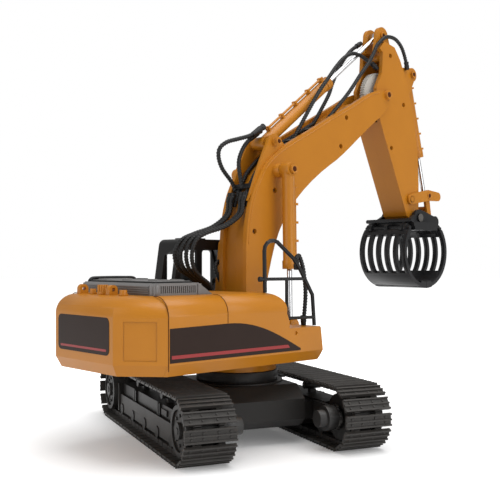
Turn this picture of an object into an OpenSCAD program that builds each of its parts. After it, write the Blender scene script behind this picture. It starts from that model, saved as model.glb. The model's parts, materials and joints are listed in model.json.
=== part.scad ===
// Toy crawler excavator with a sorting grab, in millimetres.
// The superstructure looks along +X and +Z is up. The origin lies on the ground, under the middle
// of the model's own box. Most shapes are outlines drawn in x and z and extruded across y.

/* [Undercarriage] */
// Width over both tracks
track_over_w = 165; // [140:1:200]
// Width of one track shoe
shoe_w = 39; // [32:1:46]
// Pitch of the shoes along the belt
shoe_pitch = 11.3; // [9.4:0.1:12.5]
// Shoe pitches in each straight run of a belt
run_shoes = 18; // [14:1:20]
// Teeth on each sprocket, which also set the end radius of the track
sprocket_teeth = 12; // [10:1:14]
// Sprocket axle behind the slewing axis
sprocket_back = 82; // [70:1:98]
// Angle of the tracks to the superstructure at rest
slew_rest = 71; // [0:1:90]

/* [Superstructure] */
// Half width of the superstructure
body_hw = 67; // [60:1:80]
// Rear face of the counterweight behind the slewing axis
body_rear = 147; // [125:1:175]
// Ground to the underside of the superstructure
floor_z = 66; // [60:1:72]
// Height of the superstructure from its underside to the deck
body_h = 54.5; // [46:0.5:65]
// Wall of every moulded shell
wall = 2; // [1.6:0.1:2.4]
// Height of the engine hood over the deck
hood_h = 8.7; // [7:0.1:11]
// Height of the cab over its base
cab_h = 71; // [60:1:85]
// Number of slats in each side of the engine hood
slats = 18; // [12:1:20]

/* [Boom, stick and grab] */
// Half width of the boom, which the stick fits inside
boom_hw = 17; // [15:0.5:20.5]
// Wall of the boom beside the stick
boom_wall = 2.1; // [1.8:0.1:2.4]
// Radius of the boom and stick cylinder barrels
barrel_r = 5.3; // [4.5:0.1:6.4]
// Radius of every chromed rod
rod_r = 2.2; // [1.8:0.1:2.6]
// Outer radius of the closed grab
grab_r = 35.8; // [30:0.2:40]
// Width of the grab's jaws
grab_w = 57; // [48:1:68]
// Slots in each jaw of the grab
grab_slots = 5; // [4:1:8]
// Radius of a hydraulic hose
hose_r = 1.7; // [1.3:0.1:1.9]

/* [Clearances] */
// Radial running clearance of pins and rods in their bores
run_fit = 0.08; // [0.05:0.01:0.1]
// Side clearance between moving parts
side_gap = 0.4; // [0.3:0.05:0.6]

/* [Hidden] */
$fn = 48;

YELLOW = [0.80, 0.52, 0.16];
BLACK = [0.09, 0.09, 0.09];
GREY = [0.42, 0.42, 0.41];
CHROME = [0.85, 0.85, 0.86];
STEEL = [0.55, 0.55, 0.56];
WHITE = [0.92, 0.91, 0.88];
GREEN = [0.10, 0.35, 0.20];

// ---- track and axle layout, in the undercarriage's own frame
pitch_r = shoe_pitch * sprocket_teeth / (2 * PI);
grouser_out = 3.6;
plate_out = 2.2;
plate_in = 0.6;
lug_in = 3;
lug_y = 9;
lug_w = 5;
shoe_gap = 1.7;
axle_z = pitch_r + grouser_out;
track_y = track_over_w / 2 - shoe_w / 2;
sprocket_x = -sprocket_back;
belt_run = run_shoes * shoe_pitch;
idler_x = sprocket_x + belt_run;
belt_half = belt_run + PI * pitch_r;
shoe_count = 2 * run_shoes + sprocket_teeth;
drum_r = pitch_r - lug_in - 0.6;
axle_r = 2.5;
beam_in = -shoe_w / 2 + 6.5;
// The side beams stop this far under the upper rollers
beam_top = axle_z + drum_r - 9.48;
beam_out = shoe_w / 2 - 11;
arm_in = beam_in - 4.5;
hub_out = shoe_w / 2 - 3.5;
roller_r = 4.6;
chassis_top = 46;
bearing_r = 34;
bearing_top = floor_z - 10.3;
spigot_r = 8;

// ---- slewing gear pair
gear_module = 0.8;
ring_teeth = 44;
pinion_teeth = 11;
gear_backlash = 0.3;
pinion_x = -gear_module * (ring_teeth + pinion_teeth) / 2;

// ---- superstructure levels and lengths, from the slewing axis
deck_z = floor_z + body_h;
step_z = floor_z + 27;
shoulder_r = 14;
skirt_h = 8;
floor_t = 2.5;
skirt_in = 4;
corner_y = 39;
corner_x = -body_rear + (body_hw - corner_y) * 0.93;
seam_x = -68;
deck_front = -20;
step_front = 33;
step_in = 40;
cab_rear = -38;
cab_front = 40;
boom_cyl_y = boom_hw + barrel_r + 7.7;
cab_in = boom_cyl_y + barrel_r + 1.7;
hood_rear = corner_x + 2;
hood_hw = body_hw - 20;

// ---- pivots of the front, in x and z
boom_foot = [6, 106];
boom_cyl_pin = [30.7, 221.6];
boom_rod_pin = [33, 92];
stick_cyl_pin = [30, 246.5];
stick_pivot = [181, 307.2];
stick_rod_pin = [183.9, 367.4];
tool_cyl_pin = [232.2, 336.5];
rocker_pivot = [221, 208];
link_pin = [251, 213];
tool_rod_pin = [266.3, 212.8];
tool_pivot = [228.8, 189.3];
link_foot = [256, 186];
drum_centre = [229.6, 154.6];
jaw_pin_dx = 25.8;
jaw_pin_z = drum_centre[1] + 24;
stick_hw = boom_hw - boom_wall - side_gap;
rocker_in = stick_hw + side_gap;
frame_in = rocker_in + 3.1;
link_out = stick_hw;
foot_pin_r = 3.5;
big_pin_r = 3;
pin_r = 2.2;

// ---- the model's own box centre, which is where the origin goes
grab_front = drum_centre[0] + grab_r;
far_corner_y = (belt_run - sprocket_back + axle_z) * sin(slew_rest) + track_over_w / 2 * cos(slew_rest);
near_corner_y = (sprocket_back + axle_z) * sin(slew_rest) + track_over_w / 2 * cos(slew_rest);
rocker_end_r = 4.6;
tool_front = tool_rod_pin[0] + rocker_end_r;
frame_x = (body_rear - max(grab_front, tool_front)) / 2;
frame_y = (near_corner_y - far_corner_y) / 2;

// ================================================================ helpers
// Places what is drawn from the slewing axis
module upper() translate([frame_x, frame_y, 0]) children();
module under() upper() rotate([0, 0, slew_rest]) children();

// Extrudes an outline drawn in x and z across y, from y0 to y1
module slab(y0, y1) translate([0, y1, 0]) rotate([90, 0, 0]) linear_extrude(y1 - y0) children();

// A round bar across y
module bar(p, r, y0, y1) translate([p[0], y1, p[1]]) rotate([90, 0, 0]) cylinder(r = r, h = y1 - y0);

// The same thing on both sides of the centre plane
module both() {
    children();
    mirror([0, 1, 0]) children();
}

// A box between two corners
module block(a, b) translate(a) cube(b - a);

// A round bar between two points in space
module tube_bar(a, b, r) {
    d = b - a;
    translate(a) rotate([0, 0, atan2(d[1], d[0])]) rotate([0, atan2(norm([d[0], d[1]]), d[2]), 0])
        cylinder(r = r, h = norm(d));
}

function arc(c, r, a0, a1, n) =
    [for (i = [0:n]) let (a = a0 + (a1 - a0) * i / n) [c[0] + r * cos(a), c[1] + r * sin(a)]];
function bezier(a, b, c, d, n) = [for (i = [0:n]) let (t = i / n, u = 1 - t)
    u * u * u * a + 3 * u * u * t * b + 3 * u * t * t * c + t * t * t * d];

// A tube along a list of points in space: one ring at each point, square to the path there
function unit(v) = v / norm(v);
function tangent(p, i) = unit(p[min(i + 1, len(p) - 1)] - p[max(i - 1, 0)]);
function carried(p, i) = i == 0
    ? let (t = tangent(p, 0), s = abs(t[1]) < 0.8 ? [0, 1, 0] : [1, 0, 0]) unit(s - (s * t) * t)
    : let (t = tangent(p, i), s = carried(p, i - 1)) unit(s - (s * t) * t);
module sweep(p, r, sides) {
    n = len(p);
    sides_of = [for (i = [0:n - 1]) carried(p, i)];
    rings = [for (i = [0:n - 1]) let (t = tangent(p, i), s = sides_of[i], c = cross(t, s))
        for (k = [0:sides - 1]) let (a = 360 * k / sides) p[i] + r * (cos(a) * s + sin(a) * c)];
    walls = [for (i = [0:n - 2], k = [0:sides - 1]) let (m = (k + 1) % sides)
        [i * sides + m, i * sides + k, (i + 1) * sides + k, (i + 1) * sides + m]];
    polyhedron(rings, concat([[for (k = [0:sides - 1]) k]],
        [[for (k = [sides - 1:-1:0]) (n - 1) * sides + k]], walls));
}
// A smooth curve through chosen points, with a few steps between each pair
function smooth(p, steps) = concat([for (i = [0:len(p) - 2], k = [0:steps - 1])
    let (a = p[max(i - 1, 0)], b = p[i], c = p[i + 1], d = p[min(i + 2, len(p) - 1)], t = k / steps)
    0.5 * (2 * b + (c - a) * t + (2 * a - 5 * b + 4 * c - d) * t * t
        + (3 * b - a - 3 * c + d) * t * t * t)],
    [p[len(p) - 1]]);
function angle_of(a, b) = atan2(b[1] - a[1], b[0] - a[0]);

// ================================================================ undercarriage
// One side of the undercarriage, drawn as the left one with y = 0 at the middle of its belt
module track_side(side) under() mirror([0, side < 0 ? 1 : 0, 0]) translate([0, track_y, 0]) children();

// Where the belt's pitch line is after a length s: x, z and the outward angle
function belt_pose(s) =
    s < belt_run ? [sprocket_x + s, axle_z + pitch_r, 90]
    : s < belt_half ?
        let (a = 90 - (s - belt_run) / pitch_r * 180 / PI)
        [idler_x + pitch_r * cos(a), axle_z + pitch_r * sin(a), a]
    : s < belt_half + belt_run ? [idler_x - (s - belt_half), axle_z - pitch_r, -90]
    : let (a = -90 - (s - belt_half - belt_run) / pitch_r * 180 / PI)
        [sprocket_x + pitch_r * cos(a), axle_z + pitch_r * sin(a), a];

// One shoe: a plate with three grousers, and two lugs that reach the next shoe
module track_shoe() {
    h = (shoe_pitch - shoe_gap) / 2;
    ridge = 1.3;
    slab(-shoe_w / 2, shoe_w / 2)
        polygon([
            [-h, plate_in], [h, plate_in], [h, grouser_out], [h - ridge, grouser_out],
            [h - ridge, plate_out], [ridge / 2, plate_out], [ridge / 2, grouser_out],
            [-ridge / 2, grouser_out], [-ridge / 2, plate_out], [ridge - h, plate_out],
            [ridge - h, grouser_out], [-h, grouser_out]]);
    lug_top = shoe_pitch / 2 - 0.15;
    lug_bottom = lug_top * (pitch_r - lug_in) / pitch_r;
    for (y = [-lug_y, lug_y])
        slab(y - lug_w / 2, y + lug_w / 2)
            polygon([[-lug_bottom, -lug_in], [lug_bottom, -lug_in], [lug_top, 0],
                [lug_top, 1], [-lug_top, 1], [-lug_top, 0]]);
}

module track_belt(side) color(BLACK) track_side(side)
    for (i = [0:shoe_count - 1])
        let (p = belt_pose(i * shoe_pitch))
            translate([p[0], 0, p[1]]) rotate([0, 90 - p[2], 0]) track_shoe();

// The disc that runs inside the belt's lugs, with its hub, rim and bolts
module wheel_body() {
    bar([0, 0], drum_r, -shoe_w / 2 + 7.5, hub_out - 3);
    difference() {
        bar([0, 0], drum_r, hub_out - 3, hub_out);
        bar([0, 0], drum_r - 3, hub_out - 1.5, hub_out + 1);
    }
    bar([0, 0], 6, hub_out - 2, hub_out + 1);
    for (a = [0:45:315])
        bar([10.5 * cos(a), 10.5 * sin(a)], 1.3, hub_out - 2, hub_out - 0.6);
}

module sprocket(side) color(BLACK) track_side(side) translate([sprocket_x, 0, axle_z])
    difference() {
        union() {
            wheel_body();
            step = 360 / sprocket_teeth;
            tooth = [[-0.3, 4.5], [-0.14, 0.4], [0.14, 0.4], [0.3, 4.5]];
            slab(-4, 4) polygon([for (i = [0:sprocket_teeth - 1], k = tooth)
                (pitch_r - k[1]) * [cos((i + k[0]) * step), sin((i + k[0]) * step)]]);
        }
        bar([0, 0], axle_r + run_fit, -shoe_w, shoe_w);
    }

module idler(side) color(BLACK) track_side(side) translate([idler_x, 0, axle_z])
    difference() {
        union() {
            wheel_body();
            bar([0, 0], pitch_r - 0.4, -4, 4);
        }
        bar([0, 0], axle_r + run_fit, -shoe_w, shoe_w);
        for (a = [22.5:45:360])
            bar([10.5 * cos(a), 10.5 * sin(a)], 2, -shoe_w, shoe_w);
    }

roller_x0 = sprocket_x + 30;
roller_step = (belt_run - 60) / 4;
function roller_x(i) = roller_x0 + i * roller_step;
roller_z = axle_z - drum_r - 0.3 + roller_r;
beam_bottom = roller_z + roller_r;
post_x = [sprocket_x + 0.33 * belt_run, sprocket_x + 0.67 * belt_run];

module track_rollers() color(BLACK) for (side = [-1, 1]) track_side(side) {
    for (i = [0:4]) bar([roller_x(i), roller_z], roller_r, -12, 12);
    for (x = post_x) bar([x, axle_z + drum_r - 3.2], 3.2, -7.6, 7.6);
}

// The side frame: beam, guard plate with notches for the rollers, posts and the idler's axle
module track_frame(side) color(BLACK) track_side(side) {
    beam_x = [sprocket_x + drum_r + 3.5, idler_x - drum_r - 3.5];
    guard_y = 9;
    difference() {
        union() {
            block([beam_x[0], beam_in, beam_bottom], [beam_x[1], beam_out, beam_top]);
            slab(beam_out, guard_y + 2.2) difference() {
                polygon([[beam_x[0] + 2, axle_z - 1], [beam_x[0] + 2, roller_z + 0.5],
                    [beam_x[0] + 5, roller_z - 2.5], [beam_x[1] - 5, roller_z - 2.5],
                    [beam_x[1] - 2, roller_z + 0.5], [beam_x[1] - 2, axle_z - 1]]);
                for (i = [0:4]) translate([roller_x(i), roller_z]) circle(r = roller_r + 0.4);
            }
            for (x = [beam_x[0], beam_x[1] - 2.5])
                block([x, beam_out - 1, beam_bottom - 7], [x + 2.5, guard_y + 4, beam_top]);
            for (x = post_x) {
                block([x - 3.5, beam_out - 1, axle_z - 1.5], [x - 1.3, beam_out + 1.6, beam_top]);
                block([x + 1.3, beam_out - 1, axle_z - 1.5], [x + 3.5, beam_out + 1.6, beam_top]);
                block([x - 2.6, -2.6, beam_top - 0.5], [x + 2.6, 2.6, axle_z + drum_r - 6.4]);
            }
            block([post_x[0] - 20, beam_out - 1, axle_z + 1],
                [post_x[0] - 7, beam_out + 1.2, axle_z + 5.5]);
            for (x = [sprocket_x, idler_x]) {
                bar([x, axle_z], 10, arm_in, arm_in + 3);
                block([min(x, x < 0 ? x : x - drum_r - 14), arm_in, axle_z - 8],
                    [max(x, x < 0 ? x + drum_r + 14 : x), arm_in + 3, axle_z + 8]);
            }
            block([beam_x[0], arm_in, axle_z - 8], [beam_x[0] + 10, beam_in + 1, axle_z + 8]);
            block([beam_x[1] - 10, arm_in, axle_z - 8], [beam_x[1], beam_in + 1, axle_z + 8]);
            bar([idler_x, axle_z], axle_r, arm_in + 1, hub_out + 1.5);
        }
        bar([sprocket_x, axle_z], axle_r, arm_in - 1, arm_in + 4);
        for (i = [0:4]) bar([roller_x(i), roller_z], roller_r, -12, 12);
    }
}

// Final drive on the inner side of the frame, with the shaft that carries the sprocket
module drive_motors() color(GREY) for (side = [-1, 1]) track_side(side) {
    bar([sprocket_x, axle_z], 9.5, arm_in - 8, arm_in);
    bar([sprocket_x, axle_z], 6.5, arm_in - 14, arm_in - 8);
    bar([sprocket_x, axle_z], axle_r, arm_in, hub_out + 1.5);
}

module chassis() color(BLACK) under() difference() {
    inner = track_y + beam_in;
    hw = inner - 14;
    union() {
        slab(-hw, hw) polygon([[-44, 13], [48, 13], [58, 20], [58, 36], [40, chassis_top],
            [-40, chassis_top], [-54, 36], [-54, 20]]);
        for (x = [-46, 30], s = [-1, 1]) mirror([0, s < 0 ? 1 : 0, 0])
            block([x, hw - 1, axle_z - 7], [x + 20, inner, axle_z + 7]);
        translate([0, 0, chassis_top - 1]) cylinder(r = bearing_r + 4, h = 2);
    }
    translate([0, 0, chassis_top - 26]) cylinder(r = spigot_r + run_fit, h = 40);
    for (x = [-36, 40], y = [-hw + 7, hw - 7]) translate([x, y, 12]) cylinder(r = 2.2, h = 4);
}

// The lower race of the slewing bearing, bolted to the chassis
module slew_bearing() color(BLACK) under() difference() {
    translate([0, 0, chassis_top + 1]) cylinder(r = bearing_r, h = bearing_top - chassis_top - 1);
    translate([0, 0, chassis_top]) cylinder(r = bearing_r - 5.5, h = 30);
}

// Outline of a spur gear. cut turns the flanks in by a share of the pitch, for backlash
module gear_outline(teeth, cut) {
    rp = gear_module * teeth / 2;
    step = 360 / teeth;
    lean = 0.115;
    flank = 0.25 * step - cut / rp * 90 / PI;
    polygon([for (i = [0:teeth - 1], k = [[-1, -1.2], [-1, 1], [1, 1], [1, -1.2]])
        let (a = i * step + k[0] * (flank - k[1] * lean * step))
        (rp + k[1] * gear_module * 0.9) * [cos(a), sin(a)]]);
}

gear_z = chassis_top + 1;
module slew_ring_gear() color(WHITE) upper() translate([0, 0, gear_z]) difference() {
    rotate(180 / ring_teeth) linear_extrude(5.5) gear_outline(ring_teeth, gear_backlash);
    translate([0, 0, -1]) cylinder(r = spigot_r + 1, h = 8);
}

module slew_pinion() color(WHITE) upper() translate([pinion_x, 0, gear_z + 0.5]) {
    linear_extrude(5.5) gear_outline(pinion_teeth, gear_backlash);
    cylinder(r = 1.5, h = floor_z + 3 - gear_z - 0.5);
}

// ================================================================ superstructure
// Cross-section of the body across its width, hw wide each way. The inner form runs out below
module body_section(hw, inset) {
    r = shoulder_r - inset;
    w = hw - inset;
    top = deck_z - inset;
    bottom = floor_z - inset / 2;
    polygon([[-w + skirt_in, bottom], [w - skirt_in, bottom], [w, floor_z + skirt_h], [w, top - r],
        [w - r, top - r], [w - r, top], [r - w, top], [r - w, top - r], [-w, top - r],
        [-w, floor_z + skirt_h]]);
    for (x = [r - w, w - r]) translate([x, top - r]) circle(r = r);
}

module section_along(angle, hw, inset) rotate([0, 0, angle]) translate([-200, 0, 0])
    rotate([90, 0, 90]) linear_extrude(400) body_section(hw, inset);

// The whole moulded body, drawn in by inset: sides, rear and two rear corners, all with the same shoulder
module body_form(inset) {
    corner_run = [corner_x + body_rear, body_hw - corner_y];
    corner_angle = atan2(corner_run[1], corner_run[0]);
    corner_hw = body_rear * sin(corner_angle) + corner_y * cos(corner_angle);
    intersection() {
        section_along(0, body_hw, inset);
        section_along(90, body_rear, inset);
        section_along(corner_angle, corner_hw, inset);
        section_along(-corner_angle, corner_hw, inset);
    }
}

// The stretch of the hollow body between two stations in x and y
module body_part(x0, x1, y0, y1) intersection() {
    difference() {
        body_form(0);
        body_form(wall);
    }
    block([x0, y0, floor_z - 1], [x1, y1, deck_z + 1]);
}

// The floor plate's outline, and the room for it that the shells' inner walls leave
module floor_outline() {
    edge = body_hw - skirt_in - wall - 0.6;
    rear = body_rear - skirt_in - wall - 0.6;
    polygon([[-rear, corner_y - 4], [corner_x + 3, edge], [28, edge], [step_front + 7, boom_cyl_y + 6],
        [step_front + 7, -boom_cyl_y - 6], [28, -edge], [corner_x + 3, -edge], [-rear, 4 - corner_y]]);
}
module floor_room() translate([0, 0, floor_z - 1]) linear_extrude(floor_t + 1) floor_outline();

module counterweight() color(YELLOW) upper() difference() {
    body_part(-body_rear - 1, corner_x, -body_hw - 1, body_hw + 1);
    corner_angle = atan2(body_hw - corner_y, corner_x + body_rear);
    mid = [(corner_x - body_rear) / 2, (body_hw + corner_y) / 2];
    both() translate([mid[0], mid[1], 0]) rotate([0, 0, corner_angle])
        block([-12, -0.8, floor_z + 11], [11, 3, deck_z - shoulder_r - 3]);
}

module engine_cover_right() color(YELLOW) upper() body_part(corner_x, seam_x, -body_hw - 1, 0);
module engine_cover_left() color(YELLOW) upper() body_part(corner_x, seam_x, 0, body_hw + 1);

// The front deck, with a rounded sloping end on the right and a bay for the cab on the left
module front_deck() color(YELLOW) upper() {
    nose = -5;
    difference() {
        union() {
            body_part(seam_x, nose, -body_hw - 1, body_hw + 1);
            difference() {
                intersection() {
                    body_form(0);
                    block([nose - 14, -body_hw - 1, floor_z], [nose, -boom_hw - 8, deck_z]);
                }
                intersection() {
                    body_form(wall);
                    block([nose - 20, -body_hw, floor_z - 1], [nose - wall, -boom_hw - 8 - wall, deck_z]);
                }
            }
        }
        // what is cut away in front: over the nose, round the boom's foot and at the cab
        slab(-body_hw - 2, body_hw + 2) difference() {
            polygon([[nose - 14, deck_z + 1], [nose + 1, deck_z + 1], [nose + 1, step_z + 5],
                [nose, step_z + 5], [nose - 4, deck_z - 13], [nose - 14, deck_z - 13]]);
            translate([nose - 15, deck_z - 12.5]) circle(r = 12.5);
        }
        block([deck_front, -boom_hw - 8, floor_z - 1], [1, body_hw + 2, deck_z + 2]);
        block([cab_rear - 0.2, cab_in - 0.2, floor_z - 1], [1, body_hw + 2, deck_z + 2]);
        floor_room();
    }
    // end walls behind the boom's foot and behind the cab
    block([deck_front - wall, -boom_hw - 8, floor_z + 40], [deck_front, cab_in - 1, deck_z - 1]);
    block([cab_rear - 0.2 - wall, cab_in - 1, floor_z + 3], [cab_rear - 0.2, body_hw - 3, deck_z - 4]);
    block([cab_rear - 1, cab_in - 0.2 - wall, floor_z + 3], [deck_front, cab_in - 0.2, deck_z - 1]);
}

// A low hollow step of the body, from x0 to x1, on the right
module low_step(x0, x1, y_in, top) intersection() {
    difference() {
        body_form(0);
        intersection() {
            body_form(wall);
            block([x0 - 1, -body_hw, floor_z - 1], [x1 - wall, -y_in - wall, top - wall]);
        }
        floor_room();
    }
    slab(-body_hw - 1, -y_in)
        polygon([[x0, floor_z - 1], [x1 - 3, floor_z - 1], [x1 - 1, floor_z + 3], [x1, floor_z + skirt_h],
            [x1 - 2.5, top - 1], [x1 - 3.5, top], [x0, top]]);
}

module tank_step() color(YELLOW) upper() difference() {
    low_step(-5, step_front, step_in, step_z);
    bar([2, step_z - 4], 1.6, -body_hw - 1, -body_hw + 1.2);
    translate([step_front - 3.5, -body_hw + 6.5, step_z - 1]) cylinder(r = 1.7, h = 3);
}

module cab_base() color(YELLOW) upper() mirror([0, 1, 0])
    low_step(cab_rear, cab_front, cab_in, step_z);

// The floor inside the shells, with the skirt ring, spigot and brackets for the boom
module turret_floor() color(YELLOW) upper() {
    lug = foot_pin_r + 5.5;
    difference() {
        union() {
            translate([0, 0, floor_z]) linear_extrude(floor_t) floor_outline();
            translate([0, 0, bearing_top + 0.3]) cylinder(r = bearing_r - 1, h = floor_z - bearing_top);
            translate([0, 0, chassis_top - 20]) cylinder(r = spigot_r, h = floor_z - chassis_top + 20);
            both() slab(boom_hw + side_gap, boom_hw + side_gap + 4) {
                polygon([[boom_foot[0] - 13, floor_z + 1], [boom_foot[0] + 13, floor_z + 1],
                    [boom_foot[0] + lug, boom_foot[1]], [boom_foot[0] - lug, boom_foot[1]]]);
                translate(boom_foot) circle(r = lug);
            }
            both() for (y = [boom_cyl_y - 5.6, boom_cyl_y + 3.1]) slab(y, y + 2.5) {
                polygon([[boom_rod_pin[0] - 8, floor_z + 1], [boom_rod_pin[0] + 6, floor_z + 1],
                    [boom_rod_pin[0] + 5, boom_rod_pin[1]], [boom_rod_pin[0] - 5, boom_rod_pin[1]]]);
                translate(boom_rod_pin) circle(r = 5);
            }
        }
        translate([0, 0, bearing_top - 1]) difference() {
            cylinder(r = bearing_r - 4, h = floor_z - bearing_top + 1);
            translate([0, 0, -1]) cylinder(r = spigot_r, h = 30);
        }
        translate([pinion_x, 0, floor_z - 1]) cylinder(r = 1.5 + run_fit, h = 5);
        bar(boom_foot, foot_pin_r, -60, 60);
        block([switch_x - switch_half - side_gap, -switch_hw - switch_travel, floor_z - 1],
            [switch_x + switch_half + side_gap, switch_hw + switch_travel, floor_z + 4]);
    }
}

module slew_motor() color(STEEL) upper() translate([pinion_x, 0, 0]) difference() {
    union() {
        translate([0, 0, floor_z + floor_t]) cylinder(r = 9, h = 12);
        translate([0, 0, floor_z + 14.5]) cylinder(r = 11, h = 24);
    }
    translate([0, 0, floor_z]) cylinder(r = 1.5 + run_fit, h = 3 + 0.8);
}

// The gearbox and motor that lift the boom, and the pin that the boom turns on
module boom_drive() color(STEEL) upper() {
    end = boom_hw + side_gap + 4;
    block([0, -9, floor_z + floor_t], [14, 9, floor_z + 20]);
    bar([7, floor_z + 21], 4, -13, 13);
    bar(boom_foot, foot_pin_r, -end, end);
}

module battery_pack() color(GREEN) upper() {
    block([-136, -24, floor_z + floor_t], [-98, 24, floor_z + 22]);
    for (y = [-12, 12]) bar([-117, floor_z + 27], 5, y - 11, y + 11);
}

module circuit_board() color(GREEN) upper() {
    block([-78, -40, floor_z + 10], [-44, 40, floor_z + 11.6]);
    for (x = [-75, -47], y = [-36, 36]) translate([x, y, floor_z + floor_t]) cylinder(r = 2, h = 7.5);
    block([-66, -20, floor_z + 11.6], [-52, -6, floor_z + 14]);
    translate([-60, 12, floor_z + 11.6]) cylinder(r = 4, h = 9);
}

// The slide switch's knob: it hangs through its slot on a flange that slides on the floor
switch_x = -85;
switch_half = 4;
switch_hw = 1.8;
switch_travel = 2;
module power_switch() color(BLACK) upper() {
    top = floor_z + floor_t;
    flange = [2, 3];
    block([switch_x - switch_half, -switch_hw, floor_z - 1.5],
        [switch_x + switch_half, switch_hw, top + 1]);
    block([switch_x - switch_half - flange[0], -switch_hw - flange[1], top],
        [switch_x + switch_half + flange[0], switch_hw + flange[1], top + 1]);
}

hood_front = seam_x + 2;
module engine_hood() color(GREY) upper() {
    z0 = deck_z;
    z1 = deck_z + hood_h;
    slat_x0 = hood_rear + 6;
    slat_step = (hood_front - 15 - slat_x0) / slats;
    difference() {
        slab(-hood_hw, hood_hw)
            polygon([[hood_rear, z0], [hood_front, z0], [hood_front - 2, z0 + 1.5], [hood_front - 13, z1],
                [hood_rear + 2, z1], [hood_rear, z1 - 2]]);
        block([hood_rear + 3, 3 - hood_hw, z0 - 1], [hood_front - 14, hood_hw - 3, z1 - 2]);
        both() for (i = [0:slats - 1])
            block([slat_x0 + i * slat_step, hood_hw - 1, z0 + 1.6],
                [slat_x0 + (i + 0.5) * slat_step, hood_hw + 1, z1 - 2]);
    }
    both() block([hood_front - 14, hood_hw - 0.5, z0], [hood_front - 11, hood_hw + 0.8, z1 - 0.6]);
    // round posts on both sides of each rear corner
    both() for (p = [[hood_rear + 0.4, hood_hw - 3], [hood_rear + 3, hood_hw - 0.4]])
        translate([p[0], p[1], z0]) cylinder(r = 1.7, h = hood_h - 0.8);
}

module hood_lid() color(GREY) upper() {
    z0 = deck_z + hood_h;
    block([hood_rear + 5, -hood_hw + 6, z0], [hood_front - 16, hood_hw - 6, z0 + 1.4]);
    for (y = [-hood_hw + 14, 0, hood_hw - 14])
        block([hood_rear + 9, y - 6, z0 + 1.4], [hood_front - 20, y + 6, z0 + 2.2]);
}

// Lifting eyes and filler caps moulded on the counterweight, behind the hood
module deck_fittings() color(YELLOW) upper() {
    x = (hood_rear - body_rear) / 2 + 3;
    for (y = [-11.4, 28.6]) {
        slab(y - 2.2, y + 2.2) difference() {
            union() {
                translate([x - 3.6, deck_z]) square([7.2, 3.6]);
                translate([x, deck_z + 3.6]) circle(r = 3.6);
            }
            translate([x, deck_z + 3.8]) circle(r = 1.5);
        }
    }
    // the filler cap, with grips round its rim
    translate([x, 0.7, deck_z]) {
        cylinder(r = 4.2, h = 2.2);
        translate([0, 0, 2.2]) cylinder(r = 3.2, h = 5);
        for (a = [0:30:330]) rotate([0, 0, a]) translate([3.2, 0, 2.2]) cylinder(r = 0.7, h = 5);
    }
    // two small caps
    for (c = [[14, 2.3], [-26, 2.7]]) translate([x, c[0], deck_z]) {
        cylinder(r = c[1], h = 4);
        cylinder(r = c[1] + 0.8, h = 1.4);
    }
}

// ---- cab
module round_window(a, b, r) {
    translate([a[0] + r, a[1]]) square([b[0] - a[0] - 2 * r, b[1] - a[1]]);
    translate([a[0], a[1] + r]) square([b[0] - a[0], b[1] - a[1] - 2 * r]);
    for (x = [a[0] + r, b[0] - r], z = [a[1] + r, b[1] - r]) translate([x, z]) circle(r = r);
}

cab_out = body_hw - 1;
cab_top = step_z + cab_h;
// How far the rear wall leans forward towards the roof
cab_lean = 5.5;
module cab_outline(inset) {
    i = inset;
    polygon(concat(
        [[cab_rear + i, step_z], [cab_front - i, step_z], [cab_front - i, step_z + 22]],
        arc([cab_front - 24, cab_top - 14], 14 - i, 20, 90, 8),
        arc([cab_rear + cab_lean + 6, cab_top - 6], 6 - i, 90, 170, 6),
        [[cab_rear + i, step_z + 30]]));
}
module cab_frame() color(BLACK) upper() {
    t = 2.2;
    side_top = cab_top - 9;
    difference() {
        slab(cab_in, cab_out) cab_outline(0);
        slab(cab_in + t, cab_out - t) cab_outline(t);
        // side windows: the left wall has the wider pillar behind its rear window
        slab(cab_in - 1, cab_out + 1)
            round_window([cab_rear + 30, step_z + 12], [cab_front - 14, side_top], 3);
        slab(cab_in - 1, cab_in + t + 1)
            round_window([cab_rear + 7, step_z + 34], [cab_rear + 24, side_top], 3);
        slab(cab_out - t - 1, cab_out + 1)
            round_window([cab_rear + 13, step_z + 34], [cab_rear + 24, side_top], 3);
        // rear window and windscreen
        translate([cab_rear - 5, 0, 0]) rotate([90, 0, 90]) linear_extrude(20)
            round_window([cab_in + 5, step_z + 32], [cab_out - 10, cab_top - 13], 3);
        translate([cab_front - 22, 0, 0]) rotate([90, 0, 90]) linear_extrude(40)
            round_window([cab_in + 4, step_z + 12], [cab_out - 4, cab_top - 14], 3);
    }
    // roof hatch
    block([cab_rear + 18, cab_in + 7, cab_top - 0.5], [cab_rear + 40, cab_out - 7, cab_top + 1.2]);
}

module cab_seat() color(BLACK) upper() {
    y = (cab_in + cab_out) / 2;
    slab(y - 8, y + 8)
        polygon([[-12, step_z], [4, step_z], [4, step_z + 10], [6, step_z + 12], [6, step_z + 17],
            [-8, step_z + 17], [-13, step_z + 46], [-18, step_z + 46], [-15, step_z + 17],
            [-12, step_z + 10]]);
    for (s = [-10.4, 7.4]) block([-8, y + s, step_z], [10, y + s + 3, step_z + 22]);
}

module cab_mirror() color(BLACK) upper() {
    p = [cab_front - 4, cab_out + 0.7, step_z + 34];
    tube_bar(p, p + [4, 5, 3], 1);
    block(p + [2, 5, -8], p + [4.5, 14, 8]);
}

// The tall housing beside the boom's foot, where the hose bundle comes up
tower_y = [boom_hw + 2.5, cab_in - 2];
module hose_tower() color(YELLOW) upper() {
    outline = [[3, step_z + 4], [22, step_z + 4], [22, deck_z + 8], [20, deck_z + 40], [18, deck_z + 43],
        [11, deck_z + 43], [9, deck_z + 40]];
    block([3, tower_y[0] + 2, floor_z + floor_t], [22, tower_y[1], step_z + 4]);
    difference() {
        slab(tower_y[0] + 2, tower_y[1]) polygon(outline);
        slab(tower_y[0], tower_y[0] + 3) offset(delta = -3) polygon(outline);
    }
}

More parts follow.
